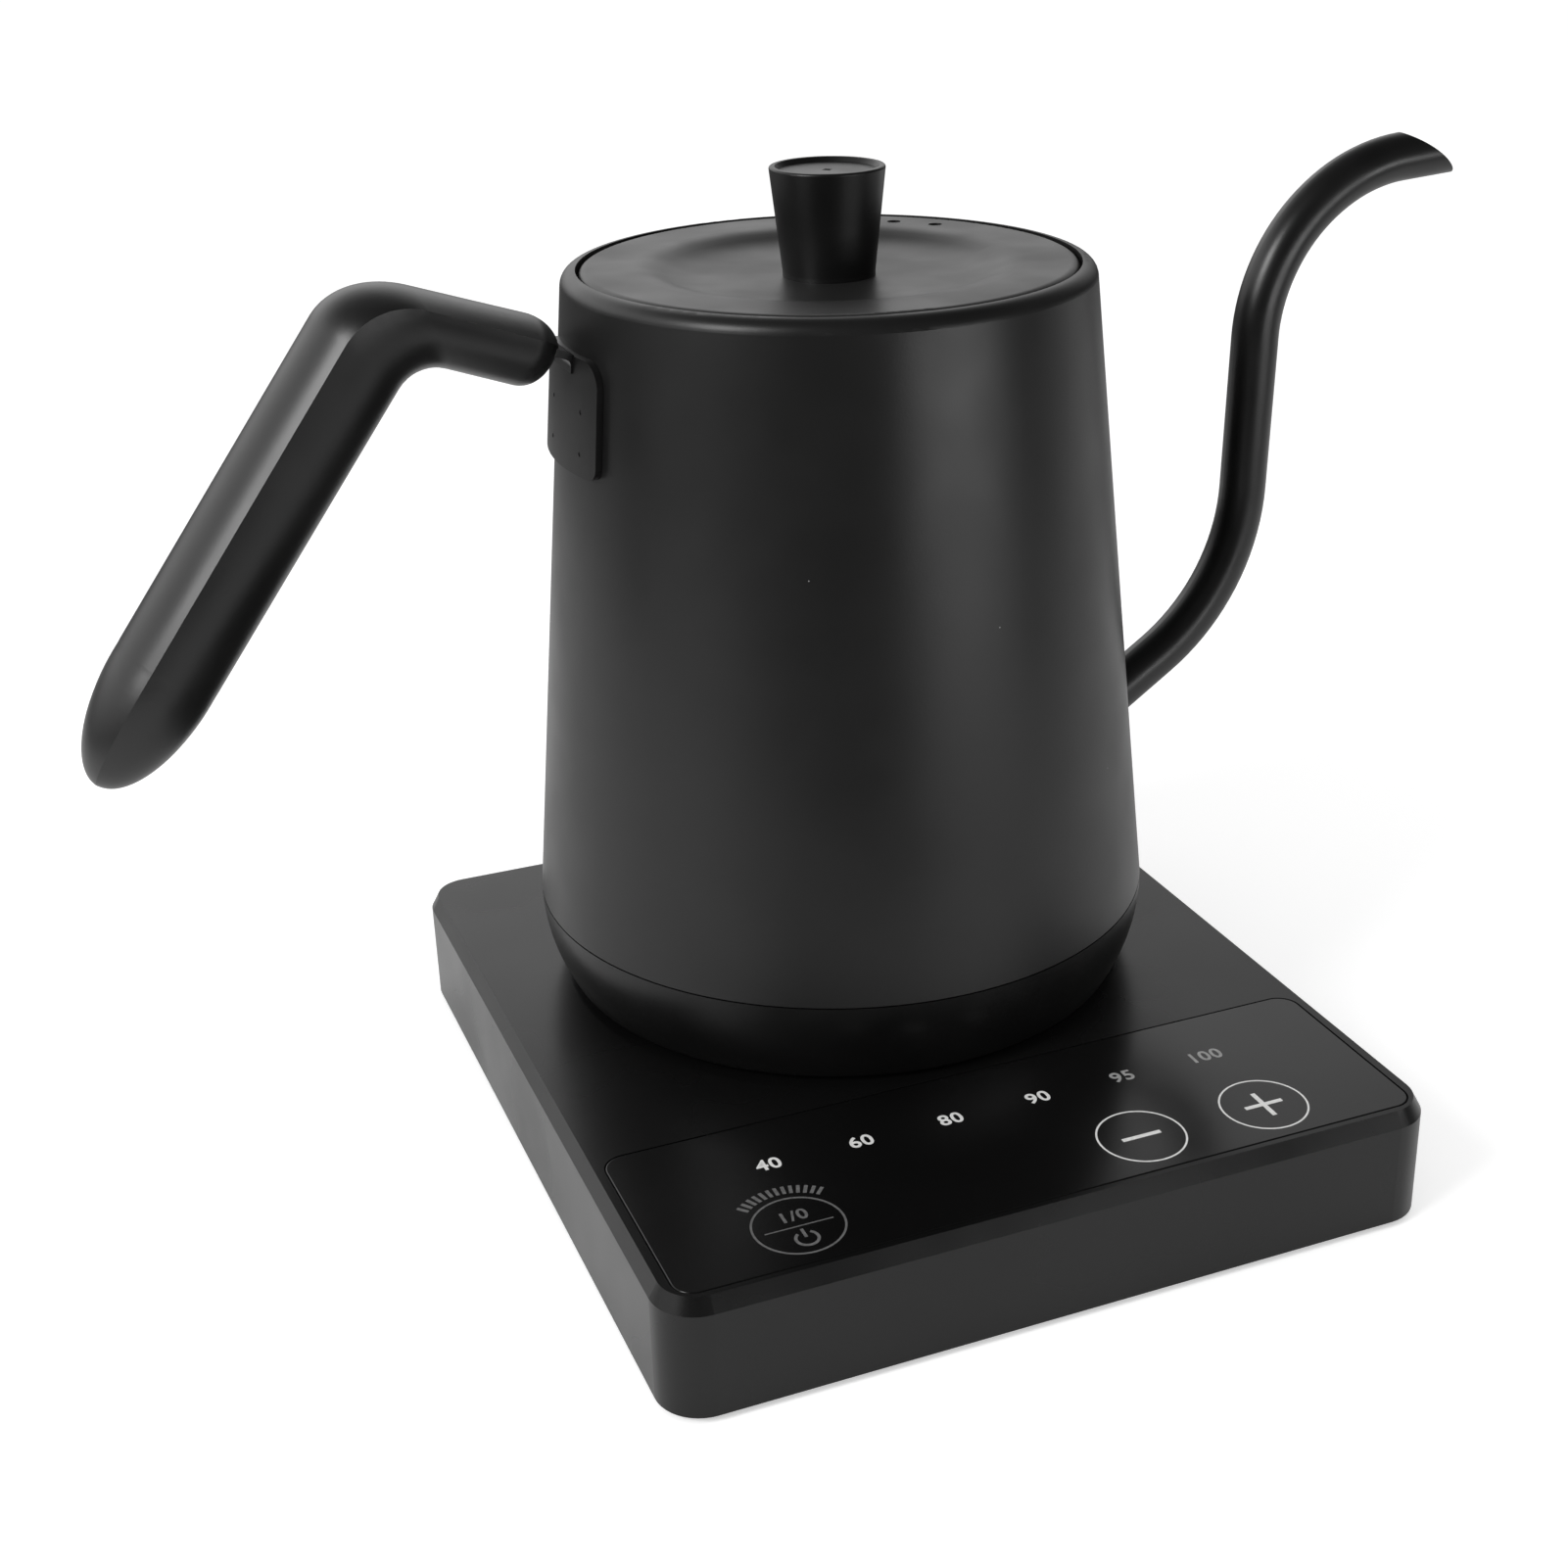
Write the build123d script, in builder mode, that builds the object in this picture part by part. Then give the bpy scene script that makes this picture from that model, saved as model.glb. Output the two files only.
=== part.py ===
"""Gooseneck electric kettle that stands on a touch-panel power base.

Millimetres, +Z up.  The origin lies in the plane of the rubber feet, under the middle of the whole
kettle, grip to spout.  The touch panel is at the front (-Y), the grip points to -X and the spout to +X.
"""
import os
from math import atan, cos, degrees, radians, sin, tan

from build123d import *

os.makedirs("parts", exist_ok=True)

# ---------------------------------------------------------------- driving dimensions
# power base
base_x = 3.6              # middle of the base and of the jug, to the spout's side of the origin
base_w = 160.0            # across the panel
base_d = 179.0            # front to back
base_h = 25.0
foot_stand = 1.5          # how far the rubber feet hold the housing off the table
base_corner = 9.0
edge_in = 1.7             # chamfer round the top: this far in ...
edge_down = 3.1           # ... and this far down
base_wall = 2.4
base_roof = 2.6
base_top = foot_stand + base_h
roof_under = base_top - base_roof
cover_thick = 2.0
cover_top = foot_stand + cover_thick

# touch panel
panel_side = 3.7          # margin between the panel and the base's sides ...
panel_front = 3.1         # ... and its front
panel_w = base_w - 2 * panel_side
panel_d = 46.0
panel_y = -base_d / 2 + panel_front + panel_d / 2
panel_thick = 1.0
panel_corner = 4.5
panel_groove = 0.25
key_xs = (-49.5, 21.3, 48.6)
key_row = 11.7            # the keys lie this far in front of the panel's middle ...
icon_row = 8.6            # ... and the indicators this far behind it
key_y = panel_y - key_row
key_hole_r = 5.5
icon_pitch = 19.0
icon_count = 6
icon_y = panel_y + icon_row
icon_xs = [(i - (icon_count - 1) / 2) * icon_pitch for i in range(icon_count)]

# jug
jug_y = 22.7              # jug axis, behind the middle of the base
seam_z = 45.9             # where the steel shell meets the plastic skirt
seam_gap = 0.3
seam_r = 65.7
lid_z = 177.9             # top of the rim and of the lid's flat ring
shell_top_r = 52.8        # cone radius carried up to the rim
shell_wall = 0.9
shoulder_r = 3.0
mouth_r = 49.9            # inside of the rim
collar_r = 46.3           # inside of the collar below the lid's ledge
ledge_z = lid_z - 2.9
collar_z = lid_z - 10.4
jug_rest_gap = 0.3        # the skirt's foot stands this far off the base's top
skirt_z = base_top + jug_rest_gap
floor_z = 53.0            # water side of the jug's floor
floor_thick = 1.0

# spout
spout_r = 5.1
spout_wall = 0.8
spout_bend_low = 46.0
spout_bend_high = 37.0

# 360 degree connector
pillar_r = 17.0
pillar_top = base_top + 8.5
pin_r = 2.6
ring_inner_r = 10.45
ring_outer_r = 14.65
ring_wall = 0.6
contact_gap = 0.4
leaf_thick = 0.4
slot_room = 0.75
carrier_z = 37.2
carrier_r = 16.95
carrier_fit = 0.05
carrier_thick = 3.0
spreader_z = floor_z - floor_thick - 3.0
housing_flange_z = 44.0

# lid
lid_edge_gap = 0.5
lid_sheet = 1.0
dish_outer_r = 38.5       # the ring starts to fall here
dish_inner_r = 22.5       # the dish is flat inside this
dish_deep = 2.7
dish_z = lid_z - dish_deep
skirt_tube_r = 44.5       # outside of the lid's inner skirt
seal_fit = 0.06
seal_wall_gap = 0.3
knob_top_z = lid_z + 18.4
knob_top_r = 11.45
knob_foot_r = 9.2
vent_r = 1.45
vent_ring_r = 42.6
vent_angles = (48.6, 35.7)

# ---------------------------------------------------------------- datum geometry
jug_axis = Axis((base_x, jug_y, 0), (0, 0, 1))
jug_section = Plane(origin=(base_x, jug_y, 0), x_dir=(1, 0, 0), z_dir=(0, -1, 0))


def level(z):
    """A horizontal plane at height z, centred on the base."""
    return Plane(origin=(base_x, 0, z))


def jug_level(z):
    """A horizontal plane at height z, centred on the jug's axis."""
    return Plane(origin=(base_x, jug_y, z))


def board_level(z):
    """A horizontal plane at height z, centred on the power board."""
    return Plane(origin=(base_x + power_board_x, power_board_y, z))


def side_level(x):
    """An upright plane that looks to +X, this far from the base's middle."""
    return Plane(origin=(base_x + x, 0, 0), x_dir=(0, 1, 0), z_dir=(1, 0, 0))


def rear_level(y):
    """An upright plane at depth y that faces forward, centred on the mains inlet."""
    return Plane(origin=(base_x + inlet_x, y, inlet_z), x_dir=(1, 0, 0), z_dir=(0, -1, 0))


def jug_radial(angle):
    """An upright plane through the jug's axis that looks out at this angle from +X."""
    turn = radians(angle)
    return Plane(
        origin=(base_x, jug_y, 0), x_dir=(cos(turn), sin(turn), 0), z_dir=(sin(turn), -cos(turn), 0)
    )


def shell_r(z):
    """Outside radius of the tapered steel shell at height z."""
    return seam_r + (shell_top_r - seam_r) * (z - seam_z) / (lid_z - seam_z)


def screw(head_r, head_h, shank_r, length):
    """A pan-head screw that stands on z = 0: head above, shank below."""
    with BuildPart() as one:
        with BuildSketch(Plane.XY):
            Circle(head_r)
        extrude(amount=head_h)
        fillet(one.edges().group_by(Axis.Z)[-1], 0.3 * head_h)
        with BuildSketch(Plane.XY):
            Circle(shank_r)
        extrude(amount=-length)
        with BuildSketch(Plane.XY.offset(head_h)):
            Rectangle(head_r, 0.25 * head_r)
            Rectangle(0.25 * head_r, head_r)
        extrude(amount=-0.45 * head_h, mode=Mode.SUBTRACT)
    return one.part


# ================================================================ POWER BASE
touch_board_z = 15.5
touch_board_thick = 1.6
touch_board_top = touch_board_z + touch_board_thick
touch_board_d = 39.0
touch_board_side = 4.6    # room between the touch board and the side walls ...
touch_board_front = 2.1   # ... and the front wall
touch_board_w = base_w - 2 * (base_wall + touch_board_side)
touch_board_y = -base_d / 2 + base_wall + touch_board_front + touch_board_d / 2
touch_screw_in_x = 4.0
touch_screw_in_y = 3.5
touch_boss_r = 2.8
touch_boss_hole_r = 1.0
touch_boss_hole = 5.0
touch_screw_x = touch_board_w / 2 - touch_screw_in_x
touch_screw_y = touch_board_d / 2 - touch_screw_in_y
touch_boss_spots = [
    (side * touch_screw_x, touch_board_y + end * touch_screw_y) for side in (1, -1) for end in (1, -1)
]
boss_r = 4.0
boss_hole_r = 1.3
boss_hole = 10.0
boss_in_x = 10.0          # the cover's bosses: in from the sides, in from the rear,
boss_in_rear = 31.5
boss_behind_board = 8.0   # and behind the touch board
boss_spots = [
    (side * (base_w / 2 - boss_in_x), y)
    for side in (1, -1)
    for y in (base_d / 2 - boss_in_rear, touch_board_y + touch_board_d / 2 + boss_behind_board)
]
flange_r = 27.0
flange_thick = 3.0
connector_screw_ring = 23.5
connector_screw_r = 1.0
connector_screw_bite = 1.8
pillar_gap = 0.4
inlet_side = 25.0         # mains inlet, in from the base's right side
inlet_x = base_w / 2 - inlet_side
inlet_z = 12.5
inlet_hole_r = 5.2
display_x = -14.0
display_w = 30.0
display_d = 11.0
window_w = 13.0
window_d = 6.0
window_corner = 1.0

# the moulded housing: chamfered block, hollow from below
with BuildPart() as base_housing:
    with BuildSketch(level(foot_stand)):
        RectangleRounded(base_w, base_d, base_corner)
    extrude(amount=base_h - edge_down)
    with BuildSketch(level(base_top - edge_down)):
        RectangleRounded(base_w, base_d, base_corner)
    extrude(amount=edge_down, taper=degrees(atan(edge_in / edge_down)))
    with BuildSketch(level(foot_stand)):
        RectangleRounded(base_w - 2 * base_wall, base_d - 2 * base_wall, base_corner - base_wall)
    extrude(amount=base_h - base_roof, mode=Mode.SUBTRACT)
    # pocket for the panel, with the fine groove round it
    with BuildSketch(level(base_top)):
        with Locations((0, panel_y)):
            RectangleRounded(panel_w + 2 * panel_groove, panel_d + 2 * panel_groove, panel_corner)
    extrude(amount=-panel_thick, mode=Mode.SUBTRACT)
    # windows in the roof below the panel: key springs, six indicators, the number display
    with BuildSketch(level(roof_under)):
        with Locations([(x, key_y) for x in key_xs]):
            Circle(key_hole_r)
        with Locations([(x, icon_y) for x in icon_xs]):
            RectangleRounded(window_w, window_d, window_corner)
        with Locations((display_x, key_y)):
            Rectangle(display_w, display_d)
    extrude(amount=base_roof, mode=Mode.SUBTRACT)
    # hole for the connector's pillar
    with BuildSketch(jug_level(roof_under)):
        Circle(pillar_r + pillar_gap)
    extrude(amount=base_roof, mode=Mode.SUBTRACT)
    # screw bosses: four for the bottom cover, four for the touch board
    with BuildSketch(level(cover_top)):
        with Locations(boss_spots):
            Circle(boss_r)
    extrude(amount=roof_under - cover_top)
    with BuildSketch(level(touch_board_top)):
        with Locations(touch_boss_spots):
            Circle(touch_boss_r)
    extrude(amount=roof_under - touch_board_top)
    with BuildSketch(level(cover_top)):
        with Locations(boss_spots):
            Circle(boss_hole_r)
    extrude(amount=boss_hole, mode=Mode.SUBTRACT)
    with BuildSketch(level(touch_board_top)):
        with Locations(touch_boss_spots):
            Circle(touch_boss_hole_r)
    extrude(amount=touch_boss_hole, mode=Mode.SUBTRACT)
    with BuildSketch(jug_level(roof_under)):
        with PolarLocations(connector_screw_ring, 3, start_angle=90):
            Circle(connector_screw_r)
    extrude(amount=connector_screw_bite, mode=Mode.SUBTRACT)
    # round hole in the rear wall for the cord gland
    with BuildSketch(rear_level(base_d / 2)):
        Circle(inlet_hole_r)
    extrude(amount=base_wall, mode=Mode.SUBTRACT)
base_housing.part.label = "base_housing"
export_step(base_housing.part, "parts/base_housing.step")

# smooth overlay that carries the printed keys
with BuildPart() as touch_panel:
    with BuildSketch(level(base_top - panel_thick)):
        with Locations((0, panel_y)):
            RectangleRounded(panel_w, panel_d, panel_corner - panel_groove)
    extrude(amount=panel_thick)
    fillet(touch_panel.edges().group_by(Axis.Z)[-1], 0.25)
touch_panel.part.label = "touch_panel"
export_step(touch_panel.part, "parts/touch_panel.step")

# bottom cover: foot recesses, screw holes, vent slots and standoffs for the power board
cover_gap = 0.25
foot_in_x = 16.0
foot_in_y = 15.5
foot_spots = [
    (side * (base_w / 2 - foot_in_x), end * (base_d / 2 - foot_in_y)) for side in (1, -1) for end in (1, -1)
]
foot_r = 6.0
foot_fit = 0.1
foot_sunk = 0.8
power_board_z = 7.0
power_board_thick = 1.6
power_board_top = power_board_z + power_board_thick
power_board_w = 40.0
power_board_d = 96.0
power_board_side = 15.0   # board's right edge, in from the base's side
power_board_x = base_w / 2 - power_board_side - power_board_w / 2
power_board_y = 18.0
# on the board: measured from its middle, or from its front or rear edge
board_front = -power_board_d / 2
board_rear = power_board_d / 2
standoff_r = 3.0
standoff_hole_r = 1.05
standoff_hole = 4.0
standoff_in = 3.5
standoff_x = power_board_w / 2 - standoff_in
standoff_rear_left = 12.0
standoff_rear_right = 41.3
standoff_spots = [
    (-standoff_x, board_front + standoff_in), (standoff_x, board_front + standoff_in),
    (-standoff_x, board_rear - standoff_rear_left), (standoff_x, board_rear - standoff_rear_right),
]
cover_screw_sunk = 1.1
cover_screw_hole_r = 1.5
cover_head_hole_r = 3.0
slot_w = 2.0
slot_length = 20.0
slot_pitch = 5.0
slot_bank = 26.0
slot_x = -45.0
with BuildPart() as base_bottom_cover:
    with BuildSketch(level(foot_stand)):
        RectangleRounded(
            base_w - 2 * base_wall - 2 * cover_gap,
            base_d - 2 * base_wall - 2 * cover_gap,
            base_corner - base_wall - cover_gap,
        )
    extrude(amount=cover_thick)
    with BuildSketch(board_level(cover_top)):
        with Locations(standoff_spots):
            Circle(standoff_r)
    extrude(amount=power_board_z - cover_top)
    with BuildSketch(board_level(power_board_z)):
        with Locations(standoff_spots):
            Circle(standoff_hole_r)
    extrude(amount=-standoff_hole, mode=Mode.SUBTRACT)
    with BuildSketch(level(foot_stand)):
        with Locations(foot_spots):
            Circle(foot_r + foot_fit)
    extrude(amount=foot_sunk, mode=Mode.SUBTRACT)
    with BuildSketch(level(foot_stand)):
        with Locations(boss_spots):
            Circle(cover_head_hole_r)
    extrude(amount=cover_screw_sunk, mode=Mode.SUBTRACT)
    with BuildSketch(level(foot_stand)):
        with Locations(boss_spots):
            Circle(cover_screw_hole_r)
        with Locations((slot_x, 0)):
            with GridLocations(slot_pitch, slot_bank, 7, 2):
                SlotOverall(slot_length, slot_w, rotation=90)
    extrude(amount=cover_thick, mode=Mode.SUBTRACT)
base_bottom_cover.part.label = "base_bottom_cover"
export_step(base_bottom_cover.part, "parts/base_bottom_cover.step")

with BuildPart() as rubber_feet:
    with BuildSketch(level(0)):
        with Locations(foot_spots):
            Circle(foot_r)
    extrude(amount=foot_stand + foot_sunk)
    fillet(rubber_feet.edges().group_by(Axis.Z)[0], 0.5)
rubber_feet.part.label = "rubber_feet"
export_step(rubber_feet.part, "parts/rubber_feet.step")

# the four screws that close the base, driven upwards from below
base_screw_bite = 8.6
base_screw_head_r = 2.8
base_screw_head_h = 1.0
base_screw = Rot(180, 0, 0) * screw(
    base_screw_head_r,
    base_screw_head_h,
    boss_hole_r - 0.05,
    cover_thick - cover_screw_sunk + base_screw_bite,
)
with BuildPart() as base_screws:
    with Locations(level(foot_stand + cover_screw_sunk)):
        with Locations(boss_spots):
            add(base_screw)
base_screws.part.label = "base_screws"
export_step(base_screws.part, "parts/base_screws.step")


# ---------------------------------------------------------------- connector, base half
def ring_sector(z, inner, outer, half_angle, turn, height):
    """An upright strip bent round the jug's axis, between two radii."""
    with BuildPart() as strip:
        with BuildSketch(jug_level(z)):
            Circle(outer)
            Circle(inner, mode=Mode.SUBTRACT)
            with BuildLine():
                corner = Polyline(
                    (0, 0),
                    (2 * outer, 0),
                    Vector(2 * outer, 0).rotate(Axis.Z, 2 * half_angle),
                    (0, 0),
                )
            wedge = make_face(mode=Mode.PRIVATE)
            add(wedge.rotate(Axis.Z, turn - half_angle), mode=Mode.INTERSECT)
        extrude(amount=height)
    return strip.part


leaf_foot_z = 6.0
leaf_top_z = 33.5
# inner radius, half angle and direction of each contact leaf
centre_leaf = (pin_r + contact_gap + 0.4, 35, 180)
inner_leaf = (ring_inner_r - ring_wall - contact_gap - leaf_thick, 15, 60)
outer_leaf = (ring_outer_r - ring_wall - contact_gap - leaf_thick, 11, -60)
connector_body_z = 10.0
connector_body_r = 20.0
slot_floor_z = 28.0

with BuildPart() as base_connector_body:
    with BuildSketch(jug_level(connector_body_z)):
        Circle(connector_body_r)
    extrude(amount=roof_under - connector_body_z)
    with BuildSketch(jug_level(roof_under - flange_thick)):
        Circle(flange_r)
    extrude(amount=flange_thick)
    with BuildSketch(jug_level(roof_under)):
        Circle(pillar_r)
    extrude(amount=pillar_top - roof_under)
    fillet(base_connector_body.edges().group_by(Axis.Z)[-1], 1.0)
    # hole for the centre pin and two ring slots
    with BuildSketch(jug_level(pillar_top)):
        Circle(centre_leaf[0] + leaf_thick)
    extrude(amount=slot_floor_z - 4 - pillar_top, mode=Mode.SUBTRACT)
    for ring_r in (ring_inner_r, ring_outer_r):
        with BuildSketch(jug_level(pillar_top)):
            Circle(ring_r + slot_room)
            Circle(ring_r - ring_wall - contact_gap - leaf_thick, mode=Mode.SUBTRACT)
        extrude(amount=slot_floor_z - pillar_top, mode=Mode.SUBTRACT)
    # the contact leaves pass down through the body
    for leaf_r, half_angle, turn in (centre_leaf, inner_leaf, outer_leaf):
        add(
            ring_sector(
                connector_body_z, leaf_r, leaf_r + leaf_thick, half_angle, turn,
                slot_floor_z - connector_body_z,
            ),
            mode=Mode.SUBTRACT,
        )
    with BuildSketch(jug_level(roof_under)):
        with PolarLocations(connector_screw_ring, 3, start_angle=90):
            Circle(connector_screw_r + 0.2)
    extrude(amount=-flange_thick, mode=Mode.SUBTRACT)
base_connector_body.part.label = "base_connector_body"
export_step(base_connector_body.part, "parts/base_connector_body.step")


def contact_leaf(leaf):
    """One sprung bronze contact: it stands in its slot and ends in a tab below the body."""
    leaf_r, half_angle, turn = leaf
    return ring_sector(leaf_foot_z, leaf_r, leaf_r + leaf_thick, half_angle, turn, leaf_top_z - leaf_foot_z)


with BuildPart() as base_contact_centre:
    add(contact_leaf(centre_leaf))
base_contact_centre.part.label = "base_contact_centre"
export_step(base_contact_centre.part, "parts/base_contact_centre.step")

with BuildPart() as base_contact_inner:
    add(contact_leaf(inner_leaf))
base_contact_inner.part.label = "base_contact_inner"
export_step(base_contact_inner.part, "parts/base_contact_inner.step")

with BuildPart() as base_contact_outer:
    add(contact_leaf(outer_leaf))
base_contact_outer.part.label = "base_contact_outer"
export_step(base_contact_outer.part, "parts/base_contact_outer.step")

flange_screw_head_r = 2.0
flange_screw_head_h = 1.4
flange_screw_length = flange_thick + connector_screw_bite - 0.2
flange_screw = Rot(180, 0, 0) * screw(
    flange_screw_head_r, flange_screw_head_h, connector_screw_r - 0.05, flange_screw_length
)
with BuildPart() as connector_screws:
    with Locations(jug_level(roof_under - flange_thick)):
        with PolarLocations(connector_screw_ring, 3, start_angle=90):
            add(flange_screw)
connector_screws.part.label = "connector_screws"
export_step(connector_screws.part, "parts/connector_screws.step")

# cord gland: rubber bush gripped in the rear wall, with the bore that the mains cord enters
gland_bore_r = 3.4
gland_collar_r = 6.8
gland_collar = 2.0
gland_fit = 0.05
rear_wall_y = base_d / 2
with BuildPart() as cord_gland:
    for y, radius, thick in (
        (rear_wall_y + gland_collar, gland_collar_r, gland_collar),
        (rear_wall_y, inlet_hole_r - gland_fit, base_wall),
        (rear_wall_y - base_wall, gland_collar_r, gland_collar),
    ):
        with BuildSketch(rear_level(y)):
            Circle(radius)
        extrude(amount=thick)
    fillet(cord_gland.edges().group_by(Axis.Y)[-1], 0.8)
    with BuildSketch(rear_level(rear_wall_y + gland_collar)):
        Circle(gland_bore_r)
    extrude(amount=base_wall + 2 * gland_collar, mode=Mode.SUBTRACT)
cord_gland.part.label = "cord_gland"
export_step(cord_gland.part, "parts/cord_gland.step")

# ---------------------------------------------------------------- electronics in the base
board_screw_hole_r = 1.3
with BuildPart() as power_board:
    with BuildSketch(board_level(power_board_z)):
        Rectangle(power_board_w, power_board_d)
        with Locations(standoff_spots):
            Circle(board_screw_hole_r, mode=Mode.SUBTRACT)
    extrude(amount=power_board_thick)
power_board.part.label = "power_board"
export_step(power_board.part, "parts/power_board.step")

board_screw_head_r = 2.4
board_screw_head_h = 1.4
board_screw_bite = 2.4
board_screw = screw(
    board_screw_head_r, board_screw_head_h, standoff_hole_r - 0.05, power_board_thick + board_screw_bite
)
with BuildPart() as board_screws:
    with Locations(board_level(power_board_top)):
        with Locations(standoff_spots):
            add(board_screw)
board_screws.part.label = "board_screws"
export_step(board_screws.part, "parts/board_screws.step")

relay_w = 15.5
relay_d = 19.0
relay_h = 14.2
relay_spot = (11.0, board_rear - 28.0)
with BuildPart() as relay:
    with BuildSketch(board_level(power_board_top)):
        with Locations(relay_spot):
            RectangleRounded(relay_w, relay_d, 0.8)
    extrude(amount=relay_h)
    fillet(relay.edges().group_by(Axis.Z)[-1], 0.5)
relay.part.label = "relay"
export_step(relay.part, "parts/relay.step")

# wound transformer: E-core with the coil former standing proud of it
core_side = 15.0
core_h = 12.5
former_w = 10.0
former_d = 17.0
former_h = 7.5
transformer_spot = (-6.5, board_rear - 20.0)
with BuildPart() as transformer:
    with BuildSketch(board_level(power_board_top)):
        with Locations(transformer_spot):
            Rectangle(core_side, core_side)
    extrude(amount=core_h)
    with BuildSketch(board_level(power_board_top + (core_h - former_h) / 2)):
        with Locations(transformer_spot):
            RectangleRounded(former_w, former_d, 1.5)
    extrude(amount=former_h)
transformer.part.label = "transformer"
export_step(transformer.part, "parts/transformer.step")

film_w = 8.0
film_d = 18.0
film_h = 12.5
film_spot = (13.0, board_rear - 54.0)
with BuildPart() as film_capacitor:
    with BuildSketch(board_level(power_board_top)):
        with Locations(film_spot):
            RectangleRounded(film_w, film_d, 0.6)
    extrude(amount=film_h)
film_capacitor.part.label = "film_capacitor"
export_step(film_capacitor.part, "parts/film_capacitor.step")

can_r = 5.0
can_h = 12.5
can_spots = [(-4.0, board_rear - 42.0), (-4.0, board_rear - 55.0)]
with BuildPart() as electrolytic_capacitors:
    with BuildSketch(board_level(power_board_top)):
        with Locations(can_spots):
            Circle(can_r)
    extrude(amount=can_h)
    fillet(electrolytic_capacitors.edges().group_by(Axis.Z)[-1], 0.6)
electrolytic_capacitors.part.label = "electrolytic_capacitors"
export_step(electrolytic_capacitors.part, "parts/electrolytic_capacitors.step")

fuse_r = 2.6
fuse_length = 20.0
fuse_cap = 5.5            # length of each metal end cap
fuse_start = power_board_x - 19
fuse_spot = (power_board_y + board_rear - 6, power_board_top + fuse_r)
with BuildPart() as fuse:
    with BuildSketch(side_level(fuse_start)):
        with Locations(fuse_spot):
            Circle(fuse_r)
    extrude(amount=fuse_length)
    with BuildSketch(side_level(fuse_start + fuse_cap)):
        with Locations(fuse_spot):
            Circle(fuse_r)
            Circle(fuse_r - 0.3, mode=Mode.SUBTRACT)
    extrude(amount=fuse_length - 2 * fuse_cap, mode=Mode.SUBTRACT)
fuse.part.label = "fuse"
export_step(fuse.part, "parts/fuse.step")

block_w = 16.0
block_d = 11.0
block_h = 10.0
block_hole_r = 1.7
block_hole = 4.0
block_pitch = 5.0
block_y = power_board_y + board_rear - 6.5
with BuildPart() as terminal_block:
    with BuildSketch(level(power_board_top)):
        with Locations((inlet_x, block_y)):
            Rectangle(block_w, block_d)
    extrude(amount=block_h)
    with BuildSketch(level(power_board_top + block_h)):
        with Locations((inlet_x, block_y)):
            with GridLocations(block_pitch, 1, 3, 1):
                Circle(block_hole_r)
    extrude(amount=-block_hole, mode=Mode.SUBTRACT)
terminal_block.part.label = "terminal_block"
export_step(terminal_block.part, "parts/terminal_block.step")

buzzer_r = 6.0
buzzer_h = 6.0
buzzer_hole_r = 1.0
buzzer_hole = 2.0
buzzer_spot = (12.0, board_front + 17.0)
with BuildPart() as buzzer:
    with BuildSketch(board_level(power_board_top)):
        with Locations(buzzer_spot):
            Circle(buzzer_r)
    extrude(amount=buzzer_h)
    with BuildSketch(board_level(power_board_top + buzzer_h)):
        with Locations(buzzer_spot):
            Circle(buzzer_hole_r)
    extrude(amount=-buzzer_hole, mode=Mode.SUBTRACT)
buzzer.part.label = "buzzer"
export_step(buzzer.part, "parts/buzzer.step")

# three mains conductors from the gland to the terminal block
conductor_r = 1.2
conductor_gap = 0.3       # they stop this far short of the gland
conductor_end_y = rear_wall_y - base_wall - gland_collar - conductor_gap
with BuildPart() as supply_wires:
    with BuildSketch(rear_level(conductor_end_y)):
        with Locations((-1.8, -0.9), (1.8, -0.9), (0, 1.6)):
            Circle(conductor_r)
    extrude(amount=conductor_end_y - block_y - block_d / 2)
supply_wires.part.label = "supply_wires"
export_step(supply_wires.part, "parts/supply_wires.step")

# three conductors from the contact tabs, under the board, up to its solder side
lead_r = 0.5
lead_bend = 0.55
lead_z = cover_top + 1.35
lead_holes = (-12.0, -15.5, -8.5)   # across the power board
leaf_mid = [
    Vector(leaf_r + leaf_thick / 2, 0).rotate(Axis.Z, turn)
    for leaf_r, half_angle, turn in (centre_leaf, inner_leaf, outer_leaf)
]
with BuildPart() as connector_wires:
    for spot, hole_x in zip(leaf_mid, lead_holes):
        with BuildLine(jug_level(0)) as run:
            FilletPolyline(
                (spot.X, spot.Y, leaf_foot_z),
                (spot.X, spot.Y, lead_z),
                (power_board_x + hole_x, spot.Y, lead_z),
                (power_board_x + hole_x, spot.Y, power_board_z),
                radius=lead_bend,
            )
        with BuildSketch(Plane(origin=run.line @ 0, z_dir=(0, 0, -1))):
            Circle(lead_r)
        sweep(path=run.line)
connector_wires.part.label = "connector_wires"
export_step(connector_wires.part, "parts/connector_wires.step")

touch_board_corner = 1.5
with BuildPart() as touch_board:
    with BuildSketch(level(touch_board_z)):
        with Locations((0, touch_board_y)):
            RectangleRounded(touch_board_w, touch_board_d, touch_board_corner)
        with Locations(touch_boss_spots):
            Circle(touch_boss_hole_r + 0.2, mode=Mode.SUBTRACT)
    extrude(amount=touch_board_thick)
touch_board.part.label = "touch_board"
export_step(touch_board.part, "parts/touch_board.step")

touch_screw_head_r = 2.2
touch_screw_head_h = 1.3
touch_screw_bite = 4.0
touch_screw = Rot(180, 0, 0) * screw(
    touch_screw_head_r, touch_screw_head_h, touch_boss_hole_r - 0.05, touch_board_thick + touch_screw_bite
)
with BuildPart() as touch_board_screws:
    with Locations(level(touch_board_z)):
        with Locations(touch_boss_spots):
            add(touch_screw)
touch_board_screws.part.label = "touch_board_screws"
export_step(touch_board_screws.part, "parts/touch_board_screws.step")

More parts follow.
